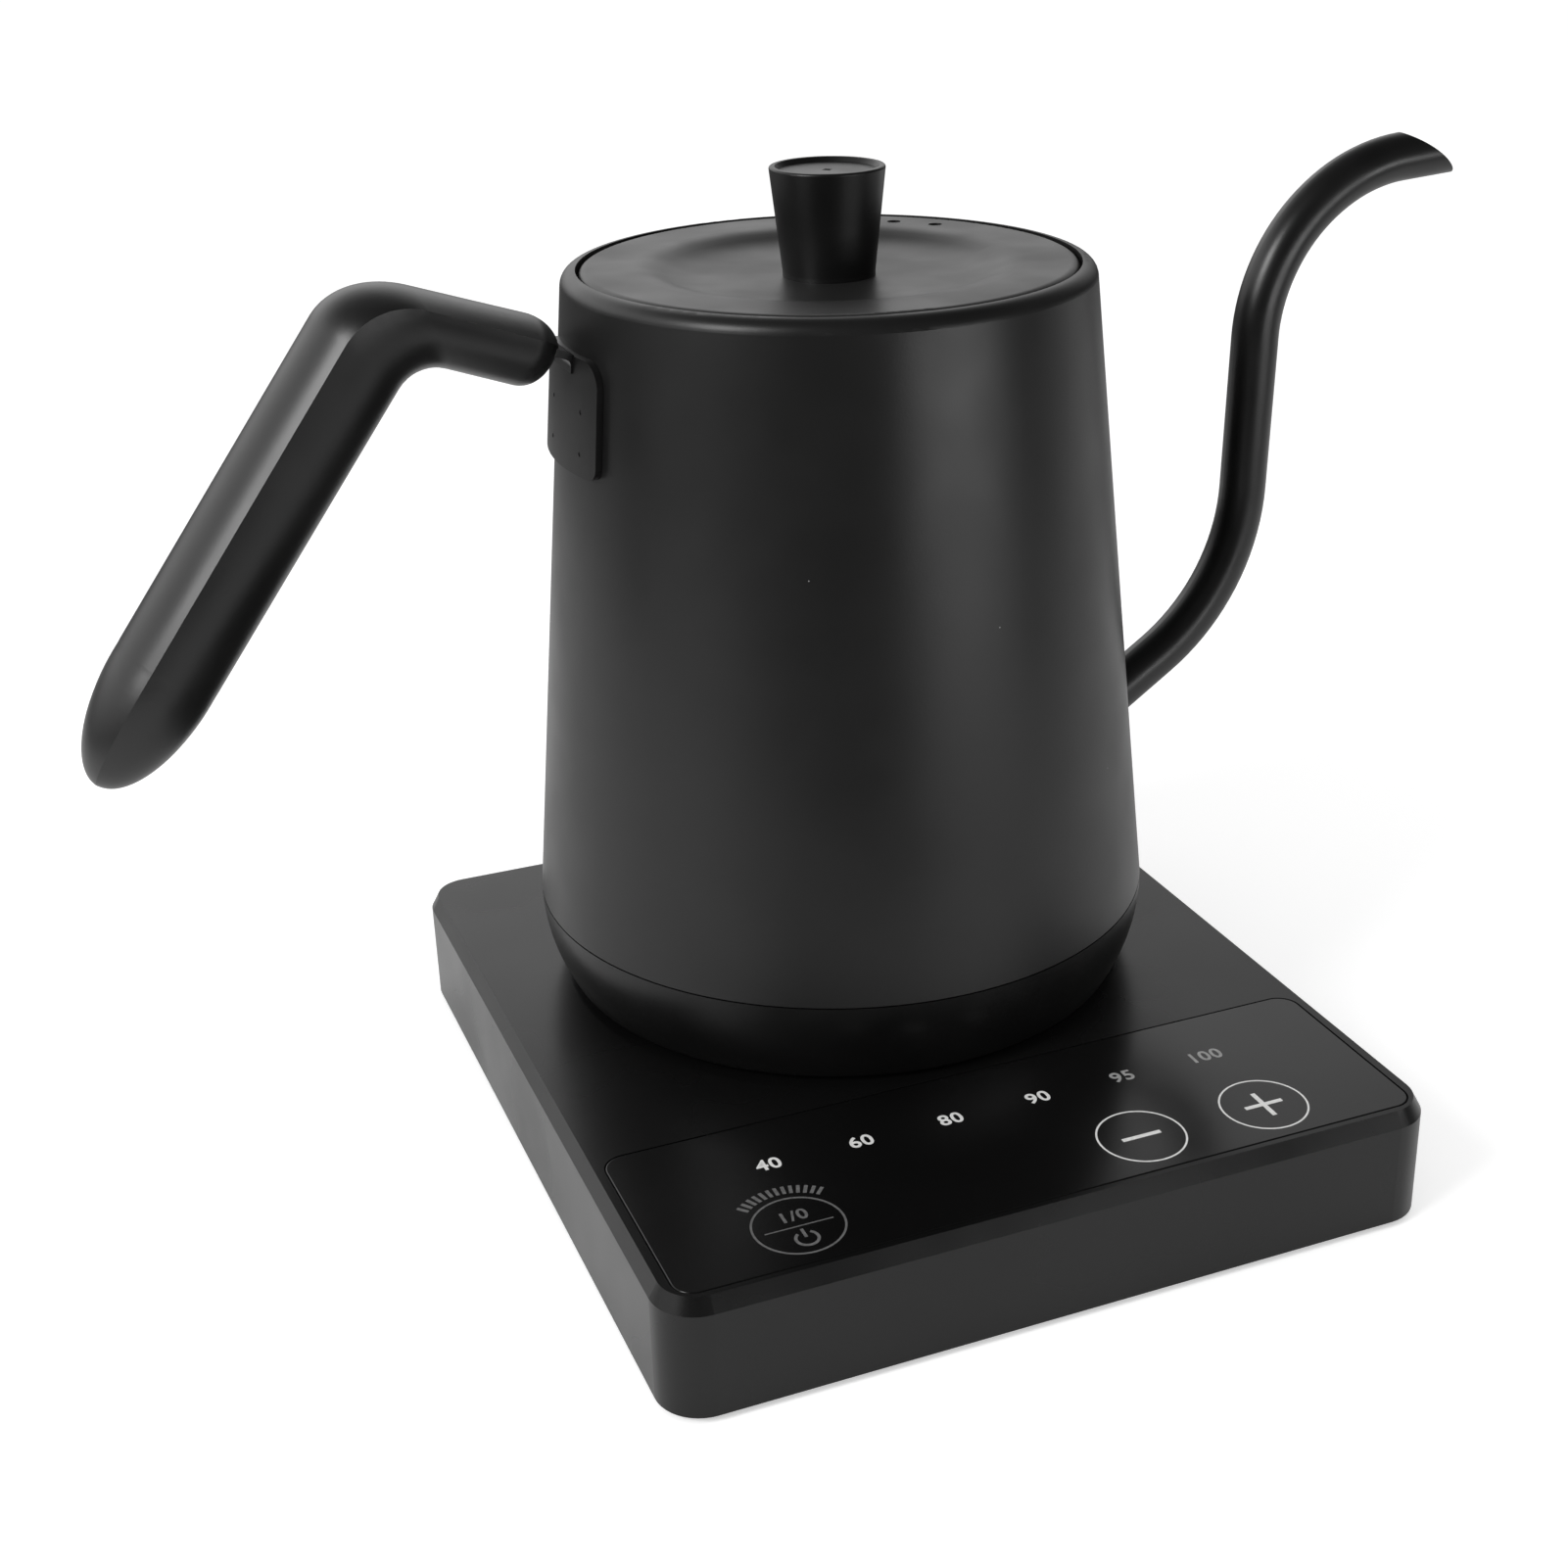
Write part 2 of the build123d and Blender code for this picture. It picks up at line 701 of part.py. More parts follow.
# coil springs that carry each key's touch signal up to the underside of the panel
spring_r = 3.6
spring_wire_r = 0.35
spring_h = base_top - panel_thick - touch_board_top - 2 * spring_wire_r
with BuildPart() as touch_springs:
    for key_x in key_xs:
        with BuildLine(level(touch_board_top + spring_wire_r)) as coil:
            Helix(pitch=spring_h / 4, height=spring_h, radius=spring_r, center=(key_x, key_y, 0))
        with BuildSketch(Plane(origin=coil.line @ 0, z_dir=coil.line % 0)):
            Circle(spring_wire_r)
        sweep(path=coil.line, is_frenet=True)
touch_springs.part.label = "touch_springs"
export_step(touch_springs.part, "parts/touch_springs.step")

# light box: keeps each indicator's light in its own cell
light_box_d = 10.0
cell_margin = 0.5         # the light box's cells are this much wider than the windows, all round
with BuildPart() as light_box:
    with BuildSketch(level(touch_board_top)):
        with Locations((0, icon_y)):
            Rectangle(icon_pitch * icon_count - 2, light_box_d)
        with Locations([(x, icon_y) for x in icon_xs]):
            RectangleRounded(
                window_w + 2 * cell_margin, window_d + 2 * cell_margin, window_corner, mode=Mode.SUBTRACT
            )
    extrude(amount=roof_under - touch_board_top)
light_box.part.label = "light_box"
export_step(light_box.part, "parts/light_box.step")

led_w = 2.8
led_d = 3.5
led_h = 1.2
led_beside_key = 7.0
led_spots = [(x, icon_y) for x in icon_xs] + [(x + led_beside_key, key_y) for x in key_xs]
with BuildPart() as indicator_leds:
    with BuildSketch(level(touch_board_top)):
        with Locations(led_spots):
            Rectangle(led_w, led_d)
    extrude(amount=led_h)
indicator_leds.part.label = "indicator_leds"
export_step(indicator_leds.part, "parts/indicator_leds.step")

# number display behind the dark stretch of panel between the keys
display_frame_x = 2.0
display_frame_y = 1.5
display_gap = 0.2
display_rise = 1.2
with BuildPart() as display_module:
    with BuildSketch(level(touch_board_top)):
        with Locations((display_x, key_y)):
            Rectangle(display_w + 2 * display_frame_x, display_d + 2 * display_frame_y)
    extrude(amount=roof_under - touch_board_top)
    with BuildSketch(level(roof_under)):
        with Locations((display_x, key_y)):
            Rectangle(display_w - 2 * display_gap, display_d - 2 * display_gap)
    extrude(amount=display_rise)
display_module.part.label = "display_module"
export_step(display_module.part, "parts/display_module.step")

# flat cable from the touch board's underside to the power board's top
ribbon_thick = 0.6
ribbon_w = 12.0
ribbon_on_board = 6.0     # length soldered down on each board
ribbon_past = 1.5         # it leaves each board's edge by this much before it slopes
ribbon_bend = 2.0
touch_rear_y = touch_board_y + touch_board_d / 2
power_front_y = power_board_y + board_front
with BuildPart() as ribbon_cable:
    with BuildSketch(side_level(power_board_x - ribbon_w + 1)):
        with BuildLine():
            FilletPolyline(
                (touch_rear_y - ribbon_on_board, touch_board_z - ribbon_thick / 2),
                (touch_rear_y + ribbon_past, touch_board_z - ribbon_thick / 2),
                (power_front_y - ribbon_past, power_board_top + ribbon_thick / 2),
                (power_front_y + ribbon_on_board, power_board_top + ribbon_thick / 2),
                radius=ribbon_bend,
            )
        trace(line_width=ribbon_thick)
    extrude(amount=ribbon_w)
ribbon_cable.part.label = "ribbon_cable"
export_step(ribbon_cable.part, "parts/ribbon_cable.step")

# ================================================================ JUG
# spout centre line: straight root, low bend, upright stretch, high bend, short run to the lip
spout_root = (58.5, 68.9)
spout_low = (97.9, 95.3)
spout_high = (100.55, 185.5)
spout_end = (150.0, 189.0)
with BuildLine(jug_section) as spout_path:
    FilletPolyline(
        spout_root, spout_low, spout_high, spout_end,
        radius=[spout_bend_low, spout_bend_high],
    )
spout_start = Plane(origin=spout_path.line @ 0, z_dir=spout_path.line % 0)
shell_mouth_z = 73.0      # height at which the spout opens into the jug
strainer_hole_r = 0.95
strainer_pitch = 1.35

# steel shell: one tapered wall, rounded shoulder, mouth folded in to a ledge and a collar
with BuildPart() as jug_shell:
    with BuildSketch(jug_section):
        with BuildLine():
            Polyline(
                (shell_r(seam_z + seam_gap), seam_z + seam_gap),
                (shell_top_r, lid_z),
                (mouth_r, lid_z),
                (mouth_r, ledge_z),
                (collar_r, ledge_z),
                (collar_r, collar_z),
                (collar_r + shell_wall, collar_z),
                (collar_r + shell_wall, ledge_z - shell_wall),
                (mouth_r + shell_wall, ledge_z - shell_wall),
                (mouth_r + shell_wall, ledge_z + 0.6),
                (shell_r(ledge_z - 1.5) - shell_wall, ledge_z - 1.5),
                (shell_r(seam_z + seam_gap) - shell_wall, seam_z + seam_gap),
                close=True,
            )
        wall = make_face()
        corners = wall.vertices()
        fillet(corners.sort_by_distance((shell_top_r, lid_z, 0)).first, shoulder_r)
    revolve(axis=jug_axis)
    # strainer: small holes through the wall inside the spout's root
    with BuildSketch(side_level(0)):
        with Locations((jug_y, shell_mouth_z)):
            with HexLocations(strainer_pitch, 3, 3):
                Circle(strainer_hole_r)
    extrude(amount=seam_r + 5, mode=Mode.SUBTRACT)
jug_shell.part.label = "jug_shell"
export_step(jug_shell.part, "parts/jug_shell.step")

# floor pan: the cooking floor with a flange turned down inside the shell
pan_fit = 0.02
pan_flange_z = 49.5
probe_x = -32.0
probe_hole_r = 4.2


def shell_inside_r(z):
    """Inside radius of the tapered wall at height z."""
    return shell_r(z) - shell_wall


with BuildPart() as jug_floor:
    with BuildSketch(jug_section):
        with BuildLine():
            Polyline(
                (0, floor_z),
                (shell_inside_r(floor_z) - pan_fit, floor_z),
                (shell_inside_r(pan_flange_z) - pan_fit, pan_flange_z),
                (shell_inside_r(pan_flange_z) - floor_thick, pan_flange_z),
                (shell_inside_r(floor_z) - floor_thick, floor_z - floor_thick),
                (0, floor_z - floor_thick),
                close=True,
            )
        make_face()
    revolve(axis=jug_axis)
    with BuildSketch(jug_level(floor_z)):
        with Locations((probe_x, 0)):
            Circle(probe_hole_r)
    extrude(amount=-floor_thick, mode=Mode.SUBTRACT)
jug_floor.part.label = "jug_floor"
export_step(jug_floor.part, "parts/jug_floor.step")

# aluminium plate that spreads the element's heat
spreader_r = 52.0
spreader_hole_r = 6.6
with BuildPart() as heat_spreader:
    with BuildSketch(jug_level(spreader_z)):
        Circle(spreader_r)
        with Locations((probe_x, 0)):
            Circle(spreader_hole_r, mode=Mode.SUBTRACT)
    extrude(amount=floor_z - floor_thick - spreader_z)
heat_spreader.part.label = "heat_spreader"
export_step(heat_spreader.part, "parts/heat_spreader.step")

# heating element: flattened tube bent into an open ring under the spreader
element_ring_r = 41.0
element_w = 8.0
element_h = 6.0
element_gap = 40.0        # degrees left open between the two ends
element_z = spreader_z - element_h / 2
with BuildPart() as heating_element:
    with BuildSketch(jug_radial(element_gap / 2)):
        with Locations((element_ring_r, element_z)):
            RectangleRounded(element_w, element_h, 2.4)
    revolve(axis=jug_axis, revolution_arc=360 - element_gap)
heating_element.part.label = "heating_element"
export_step(heating_element.part, "parts/heating_element.step")

# the element's two cold ends: a ceramic bead, a pin and a tab turned down from it
bead_r = 2.2
bead_length = 3.0
tab_w = 5.0
tab_thick = 0.8
tab_length = 9.0
tab_reach = bead_length + 1.5
with BuildPart() as element_terminals:
    for side in (1, -1):
        end = jug_radial(side * element_gap / 2)
        spot = end.from_local_coords((element_ring_r, element_z, 0))
        into_gap = Plane(origin=spot, x_dir=end.x_dir, z_dir=side * end.z_dir)
        with BuildSketch(into_gap):
            Circle(bead_r)
        extrude(amount=bead_length)
        with BuildSketch(into_gap):
            Circle(bead_r / 2)
        extrude(amount=tab_reach)
        with BuildSketch(into_gap.offset(tab_reach)):
            with Locations((0, side * (bead_r - tab_length) / 2)):
                Rectangle(tab_w, tab_length + bead_r)
        extrude(amount=tab_thick)
element_terminals.part.label = "element_terminals"
export_step(element_terminals.part, "parts/element_terminals.step")

# temperature probe: closed steel finger that stands up into the water
probe_r = 2.6
probe_length = 16.0
probe_tip = 1.6
probe_flange_r = probe_r + 1.2
probe_flange_thick = 2.0
probe_foot_z = spreader_z - 3
with BuildPart() as temperature_probe:
    with BuildSketch(jug_level(probe_foot_z)):
        with Locations((probe_x, 0)):
            Circle(probe_r)
    extrude(amount=probe_length)
    fillet(temperature_probe.edges().group_by(Axis.Z)[-1], probe_tip)
    with BuildSketch(jug_level(probe_foot_z)):
        with Locations((probe_x, 0)):
            Circle(probe_flange_r)
    extrude(amount=probe_flange_thick)
temperature_probe.part.label = "temperature_probe"
export_step(temperature_probe.part, "parts/temperature_probe.step")

seal_lip_r = 6.2
seal_lip = 1.2
with BuildPart() as probe_seal:
    for z, radius, thick in (
        (floor_z - floor_thick - seal_lip, seal_lip_r, seal_lip),
        (floor_z - floor_thick, probe_hole_r, floor_thick),
        (floor_z, seal_lip_r, seal_lip),
    ):
        with BuildSketch(jug_level(z)):
            with Locations((probe_x, 0)):
                Circle(radius)
                Circle(probe_r, mode=Mode.SUBTRACT)
        extrude(amount=thick)
probe_seal.part.label = "probe_seal"
export_step(probe_seal.part, "parts/probe_seal.step")

# boil-dry cutouts pressed against the spreader
cutout_r = 6.5
cutout_h = 3.0
cutout_step = 1.5
cutout_y = 12.0
with BuildPart() as boil_dry_cutouts:
    with BuildSketch(jug_level(spreader_z)):
        with Locations((0, cutout_y), (0, -cutout_y)):
            Circle(cutout_r)
    extrude(amount=-cutout_h)
    with BuildSketch(jug_level(spreader_z - cutout_h)):
        with Locations((0, cutout_y), (0, -cutout_y)):
            Circle(cutout_r - cutout_step)
    extrude(amount=-cutout_step)
boil_dry_cutouts.part.label = "boil_dry_cutouts"
export_step(boil_dry_cutouts.part, "parts/boil_dry_cutouts.step")

# ---------------------------------------------------------------- connector, jug half
housing_r = 21.0
housing_foot_z = base_top + 1.1
housing_flange_r = 28.0
housing_flange_thick = 2.0
recess_r = pillar_r + 0.6
bore_top_z = carrier_z + carrier_thick + 0.2
stud_ring = 25.0
stud_r = 1.6
with BuildPart() as jug_connector_housing:
    with BuildSketch(jug_level(housing_foot_z)):
        Circle(housing_r)
    extrude(amount=housing_flange_z - housing_foot_z)
    chamfer(jug_connector_housing.edges().group_by(Axis.Z)[0], 0.8)
    with BuildSketch(jug_level(housing_flange_z)):
        Circle(housing_flange_r)
    extrude(amount=-housing_flange_thick)
    with BuildSketch(jug_level(housing_foot_z)):
        Circle(recess_r)
    extrude(amount=carrier_z - 0.2 - housing_foot_z, mode=Mode.SUBTRACT)
    with BuildSketch(jug_level(carrier_z - 0.2)):
        Circle(carrier_r + carrier_fit)
    extrude(amount=bore_top_z - carrier_z + 0.2, mode=Mode.SUBTRACT)
    with BuildSketch(jug_level(housing_flange_z)):
        with PolarLocations(stud_ring, 3, start_angle=30):
            Circle(stud_r + 0.1)
    extrude(amount=-housing_flange_thick, mode=Mode.SUBTRACT)
jug_connector_housing.part.label = "jug_connector_housing"
export_step(jug_connector_housing.part, "parts/jug_connector_housing.step")

# shouldered studs that hang the housing below the spreader, each with its nut
with BuildPart() as connector_studs:
    for z, radius, thick in (
        (housing_flange_z, 2.4, spreader_z - housing_flange_z),
        (housing_flange_z - housing_flange_thick - 3, stud_r, housing_flange_thick + 3),
        (housing_flange_z - housing_flange_thick - 2, 2.8, 2),
    ):
        with BuildSketch(jug_level(z)):
            with PolarLocations(stud_ring, 3, start_angle=30):
                Circle(radius)
        extrude(amount=thick)
connector_studs.part.label = "connector_studs"
export_step(connector_studs.part, "parts/connector_studs.step")

# conductors: two from the housing to the element's tabs, one up to the temperature probe
wire_z = 39.6
wire_r = 1.0
wire_bend = 2.5
with BuildPart() as jug_wires:
    for side in (1, -1):
        end = jug_radial(side * element_gap / 2)
        spot = end.from_local_coords((housing_r, wire_z, side * (tab_reach + tab_thick / 2)))
        with BuildSketch(Plane(origin=spot, z_dir=end.x_dir)):
            Circle(wire_r)
        extrude(amount=element_ring_r - tab_w / 2 - housing_r)
    with BuildLine(jug_section) as probe_run:
        FilletPolyline(
            (-housing_r - 0.1, wire_z), (probe_x, wire_z), (probe_x, probe_foot_z), radius=wire_bend
        )
    with BuildSketch(Plane(origin=probe_run.line @ 0, z_dir=probe_run.line % 0)):
        Circle(wire_r)
    sweep(path=probe_run.line)
jug_wires.part.label = "jug_wires"
export_step(jug_wires.part, "parts/jug_wires.step")

# round carrier with the centre pin and the two contact rings below it
with BuildPart() as contact_carrier:
    with BuildSketch(jug_level(carrier_z)):
        Circle(carrier_r)
    extrude(amount=carrier_thick)
contact_carrier.part.label = "contact_carrier"
export_step(contact_carrier.part, "parts/contact_carrier.step")

ring_foot_z = slot_floor_z + 1.5
with BuildPart() as contact_ring_outer:
    with BuildSketch(jug_level(ring_foot_z)):
        Circle(ring_outer_r)
        Circle(ring_outer_r - ring_wall, mode=Mode.SUBTRACT)
    extrude(amount=carrier_z - ring_foot_z)
contact_ring_outer.part.label = "contact_ring_outer"
export_step(contact_ring_outer.part, "parts/contact_ring_outer.step")

with BuildPart() as contact_ring_inner:
    with BuildSketch(jug_level(ring_foot_z)):
        Circle(ring_inner_r)
        Circle(ring_inner_r - ring_wall, mode=Mode.SUBTRACT)
    extrude(amount=carrier_z - ring_foot_z)
contact_ring_inner.part.label = "contact_ring_inner"
export_step(contact_ring_inner.part, "parts/contact_ring_inner.step")

with BuildPart() as centre_pin:
    with BuildSketch(jug_level(slot_floor_z)):
        Circle(pin_r)
    extrude(amount=carrier_z - slot_floor_z)
    chamfer(centre_pin.edges().group_by(Axis.Z)[0], 1.0)
centre_pin.part.label = "centre_pin"
export_step(centre_pin.part, "parts/centre_pin.step")

# ---------------------------------------------------------------- plastic skirt under the shell
skirt_foot_r = 59.4
skirt_mid_r = 64.5
skirt_mid_z = 36.5
cover_r = 56.9
cover_seat_z = 29.2
ledge_thick = 2.0
ledge_inner_r = 50.0
spigot_top_z = 49.0
spigot_r = 64.2
skirt_inner_r = 62.4
cover_screw_ring = 53.4
cover_screw_length = 7.0
post_r = 3.2
post_h = 6.0
post_hole_r = 1.45
post_hole = 6.5
with BuildPart() as jug_skirt:
    with BuildSketch(jug_section):
        with BuildLine():
            ThreePointArc(
                (seam_r, seam_z),
                (skirt_mid_r, skirt_mid_z),
                (skirt_foot_r + 1.6, skirt_z + 1.2),
            )
            Polyline(
                (skirt_foot_r + 1.6, skirt_z + 1.2),
                (skirt_foot_r, skirt_z),
                (cover_r + 0.3, skirt_z),
                (cover_r + 0.3, cover_seat_z),
                (ledge_inner_r, cover_seat_z),
                (ledge_inner_r, cover_seat_z + ledge_thick),
                (skirt_inner_r - 2, cover_seat_z + ledge_thick),
                (skirt_inner_r, cover_seat_z + ledge_thick + 4),
                (skirt_inner_r, spigot_top_z),
                (spigot_r, spigot_top_z),
                (spigot_r, seam_z),
                (seam_r, seam_z),
            )
        make_face()
    revolve(axis=jug_axis)
    # three posts that take the cover's screws
    with BuildSketch(jug_level(cover_seat_z + ledge_thick)):
        with PolarLocations(cover_screw_ring, 3, start_angle=90):
            Circle(post_r)
    extrude(amount=post_h)
    with BuildSketch(jug_level(cover_seat_z)):
        with PolarLocations(cover_screw_ring, 3, start_angle=90):
            Circle(post_hole_r)
    extrude(amount=post_hole, mode=Mode.SUBTRACT)
jug_skirt.part.label = "jug_skirt"
export_step(jug_skirt.part, "parts/jug_skirt.step")

bottom_cover_z = skirt_z + 0.4
housing_room = 0.8
jug_screw_sunk = 1.1
jug_screw_hole_r = 1.6
jug_head_hole_r = 2.9
with BuildPart() as jug_bottom_cover:
    with BuildSketch(jug_level(bottom_cover_z)):
        Circle(cover_r)
        Circle(housing_r + housing_room, mode=Mode.SUBTRACT)
        with PolarLocations(cover_screw_ring, 3, start_angle=90):
            Circle(jug_screw_hole_r, mode=Mode.SUBTRACT)
    extrude(amount=cover_seat_z - bottom_cover_z)
    with BuildSketch(jug_level(bottom_cover_z)):
        with PolarLocations(cover_screw_ring, 3, start_angle=90):
            Circle(jug_head_hole_r)
    extrude(amount=jug_screw_sunk, mode=Mode.SUBTRACT)
jug_bottom_cover.part.label = "jug_bottom_cover"
export_step(jug_bottom_cover.part, "parts/jug_bottom_cover.step")

cover_screw_head_r = 2.7
cover_screw_head_h = 1.0
cover_screw = Rot(180, 0, 0) * screw(
    cover_screw_head_r, cover_screw_head_h, post_hole_r - 0.1, cover_screw_length
)
with BuildPart() as jug_cover_screws:
    with Locations(jug_level(bottom_cover_z + jug_screw_sunk)):
        with PolarLocations(cover_screw_ring, 3, start_angle=90):
            add(cover_screw)
jug_cover_screws.part.label = "jug_cover_screws"
export_step(jug_cover_screws.part, "parts/jug_cover_screws.step")

# ---------------------------------------------------------------- spout
spout_cut_top = (132.2, 193.4)
spout_cut_mid = (141.2, 188.4)
spout_lip = (147.0, 183.0)
cut_low = (160.0, 180.0)
cut_high = (160.0, 205.0)
cut_half_width = 20.0
with BuildPart() as spout_tube:
    with BuildSketch(spout_start):
        Circle(spout_r)
    sweep(path=spout_path.line)
    # the wall of the jug cuts the root off, the pouring mouth is cut in a long slant
    with BuildSketch(jug_section):
        with BuildLine():
            Polyline(
                (0, spout_root[1] - 30),
                (shell_r(spout_root[1] - 30), spout_root[1] - 30),
                (shell_r(spout_root[1] + 60), spout_root[1] + 60),
                (0, spout_root[1] + 60),
                close=True,
            )
        make_face()
    revolve(axis=jug_axis, mode=Mode.SUBTRACT)
    with BuildSketch(spout_start):
        Circle(spout_r - spout_wall)
    sweep(path=spout_path.line, mode=Mode.SUBTRACT)
    with BuildSketch(jug_section):
        with BuildLine():
            ThreePointArc(spout_cut_top, spout_cut_mid, spout_lip)
            Polyline(spout_lip, cut_low, cut_high, (spout_cut_top[0], cut_high[1]), spout_cut_top)
        make_face()
    extrude(amount=cut_half_width, both=True, mode=Mode.SUBTRACT)
spout_tube.part.label = "spout_tube"
export_step(spout_tube.part, "parts/spout_tube.step")

# ================================================================ HANDLE
# the crease line along the grip's sides: short arm from the jug, bend, long arm down
grip_corner = (-92.2, lid_z + 3.8)
grip_tip = (-56.9, lid_z - 11.3)
grip_end = (-151.6, lid_z - 84.7)
arm_run = Vector(0.94, -0.342).normalized()
leg_run = Vector(-0.595, -0.804).normalized()
arm_up = Vector(0.342, 0.94).normalized()
leg_out = Vector(-0.804, 0.595).normalized()
# half width, height of the arched outer face, depth of the rounded inner side
arm_size = (10.0, 2.8, 10.8)
leg_size = (11.0, 5.0, 15.3)
bend_run = 10.2           # the bend starts this far from the corner on the crease
inner_radius = 8.0        # radius on the inner side of the bend
bend_steps = 8
cap_arm = 6.5             # length of the domed end at the jug
cap_leg = 24.0            # length of the bullet-shaped end
# pulls of the curve that rounds the inner side, as shares of the half width and of the depth
side_pull = 0.8
foot_pull = 0.45
foot_drop = 1.2
lead = 3.0                # plain length that leads into the bullet-shaped end


def in_space(spot):
    """A point of the handle's middle plane, set in space."""
    return jug_section.from_local_coords((spot.X, spot.Y, 0))


def grip_section(spot, up, size):
    """Section of the grip: arched outer face, rounded inner side, one crease at each edge."""
    half, arch, deep = size
    plane = Plane(origin=in_space(spot), x_dir=(0, 1, 0), z_dir=(up.Y, 0, -up.X))
    with BuildSketch(plane) as section:
        with BuildLine():
            ThreePointArc((-half, 0), (0, arch), (half, 0))
            Bezier(
                (half, 0),
                (half, -side_pull * deep),
                (foot_pull * half, -foot_drop * deep),
                (-foot_pull * half, -foot_drop * deep),
                (-half, -side_pull * deep),
                (-half, 0),
            )
        make_face()
    return section.sketch


def blend(one, other, share):
    """Step from one tuple of sizes to another."""
    return tuple(a + (b - a) * share for a, b in zip(one, other))


corner = Vector(*grip_corner)


def domed_end(tip, run, out, size, length):
    """Sections of a rounded end that closes on its tip: an ellipse along the arm."""
    reach = (tip - corner).dot(run)
    drop = (tip - corner).dot(out)
    sections = []
    for angle in (0, 15, 30, 45, 60, 72, 81, 87):
        full = cos(radians(angle))
        spot = corner + run * (reach - length * (1 - sin(radians(angle)))) + out * drop * (1 - full)
        sections.append(grip_section(spot, out, tuple(full * part for part in size)))
    return sections


jug_end = domed_end(Vector(*grip_tip), arm_run, arm_up, arm_size, cap_arm)
leg_reach = (Vector(*grip_end) - corner).dot(leg_run)
low_end = [grip_section(corner + leg_run * (leg_reach - cap_leg - lead), leg_out, leg_size)]
low_end += domed_end(Vector(*grip_end), leg_run, leg_out, leg_size, cap_leg)

# bend: the crease and the inner side each round their own corner
bend_turn = leg_out.get_angle(arm_up)
half_turn = radians(bend_turn / 2)
bend_out = arm_up.rotate(Axis.Z, bend_turn / 2)
crease_radius = bend_run / tan(half_turn)
crease_centre = corner - bend_out * (crease_radius / cos(half_turn))
square = arm_up.X * leg_out.Y - arm_up.Y * leg_out.X
inner_corner = corner + Vector(
    (arm_up.Y * leg_size[2] - leg_out.Y * arm_size[2]) / square,
    (leg_out.X * arm_size[2] - arm_up.X * leg_size[2]) / square,
)
inner_centre = inner_corner - bend_out * (inner_radius / cos(half_turn))
bend = []
for step in range(bend_steps + 1):
    share = step / bend_steps
    out = arm_up.rotate(Axis.Z, bend_turn * share)
    spot = crease_centre + out * crease_radius
    across = spot - (inner_centre + out * inner_radius)
    half, arch = blend(arm_size[:2], leg_size[:2], share * share * (3 - 2 * share))
    bend.append(grip_section(spot, across.normalized(), (half, arch, across.length)))


def along_arm(reach, depth):
    """A point of the handle's middle plane: this far from the bend, this deep below the crease."""
    return corner + arm_run * reach - arm_up * depth


def along_leg(reach, depth):
    """The same for the long arm of the grip."""
    return corner + leg_run * reach - leg_out * depth


# welded steel bracket: a curved plate on the jug with a tang bent out into the grip
bracket_thick = 1.5
bracket_half_turn = 16.5
bracket_low_z = lid_z - 33.9
bracket_high_z = lid_z - 11.7
bracket_fit = 0.02
bracket_corners = (5.0, 2.5)
tang_w = 13.0
tang_bend = 2.2
tang_depth = 2.1          # middle of the tang below the grip's crease
tang_start = 17.0         # its inner end, measured from the grip's bend
tang_overlap = 3.0        # the tang is welded over this much of the plate's slope
weld_r = 0.45
weld_deep = 0.15
weld_zs = (bracket_low_z + 4.3, bracket_low_z + 12.3)
weld_turns = (-5.0, 10.5)
# strap that stiffens the grip, riveted under the tang
core_thick = 3.0
core_w = 12.0
core_depth = tang_depth + (bracket_thick + core_thick) / 2
core_bend = 12.0
core_arm = 33.0
core_leg = 82.0
rivet_r = 1.5
rivet_head_r = 2.6
rivet_head_h = 0.9
rivet_reaches = (21.0, 30.0)
rivet_top = tang_depth - bracket_thick / 2
rivet_low = core_depth + core_thick / 2


def plate_x(z):
    """Middle of the bracket plate's thickness at height z, on the grip's side."""
    return -(shell_r(z) + bracket_fit + bracket_thick / 2)


def flat(point):
    """A point of the handle's middle plane as a plain pair."""
    return (point.X, point.Y)


with BuildPart() as handle_rivets:
    for reach in rivet_reaches:
        for depth, radius, length in (
            (rivet_top - rivet_head_h, rivet_head_r, rivet_head_h),
            (rivet_top, rivet_r, rivet_low - rivet_top),
            (rivet_low, rivet_head_r, rivet_head_h),
        ):
            spot = in_space(along_arm(reach, depth))
            with BuildSketch(Plane(origin=spot, z_dir=(-arm_up.X, 0, -arm_up.Y))):
                Circle(radius)
            extrude(amount=length)
handle_rivets.part.label = "handle_rivets"
export_step(handle_rivets.part, "parts/handle_rivets.step")

# where the plate's slope and the tang's line cross
plate_foot = Vector(plate_x(bracket_low_z), bracket_low_z)
plate_run = Vector(plate_x(bracket_high_z), bracket_high_z) - plate_foot
tang_end = along_arm(tang_start, tang_depth)
gap = tang_end - plate_foot
turned = plate_run.X * arm_run.Y - plate_run.Y * arm_run.X
tang_root = plate_foot + plate_run * ((gap.X * arm_run.Y - gap.Y * arm_run.X) / turned)
tang_foot = tang_root - plate_run.normalized() * tang_overlap

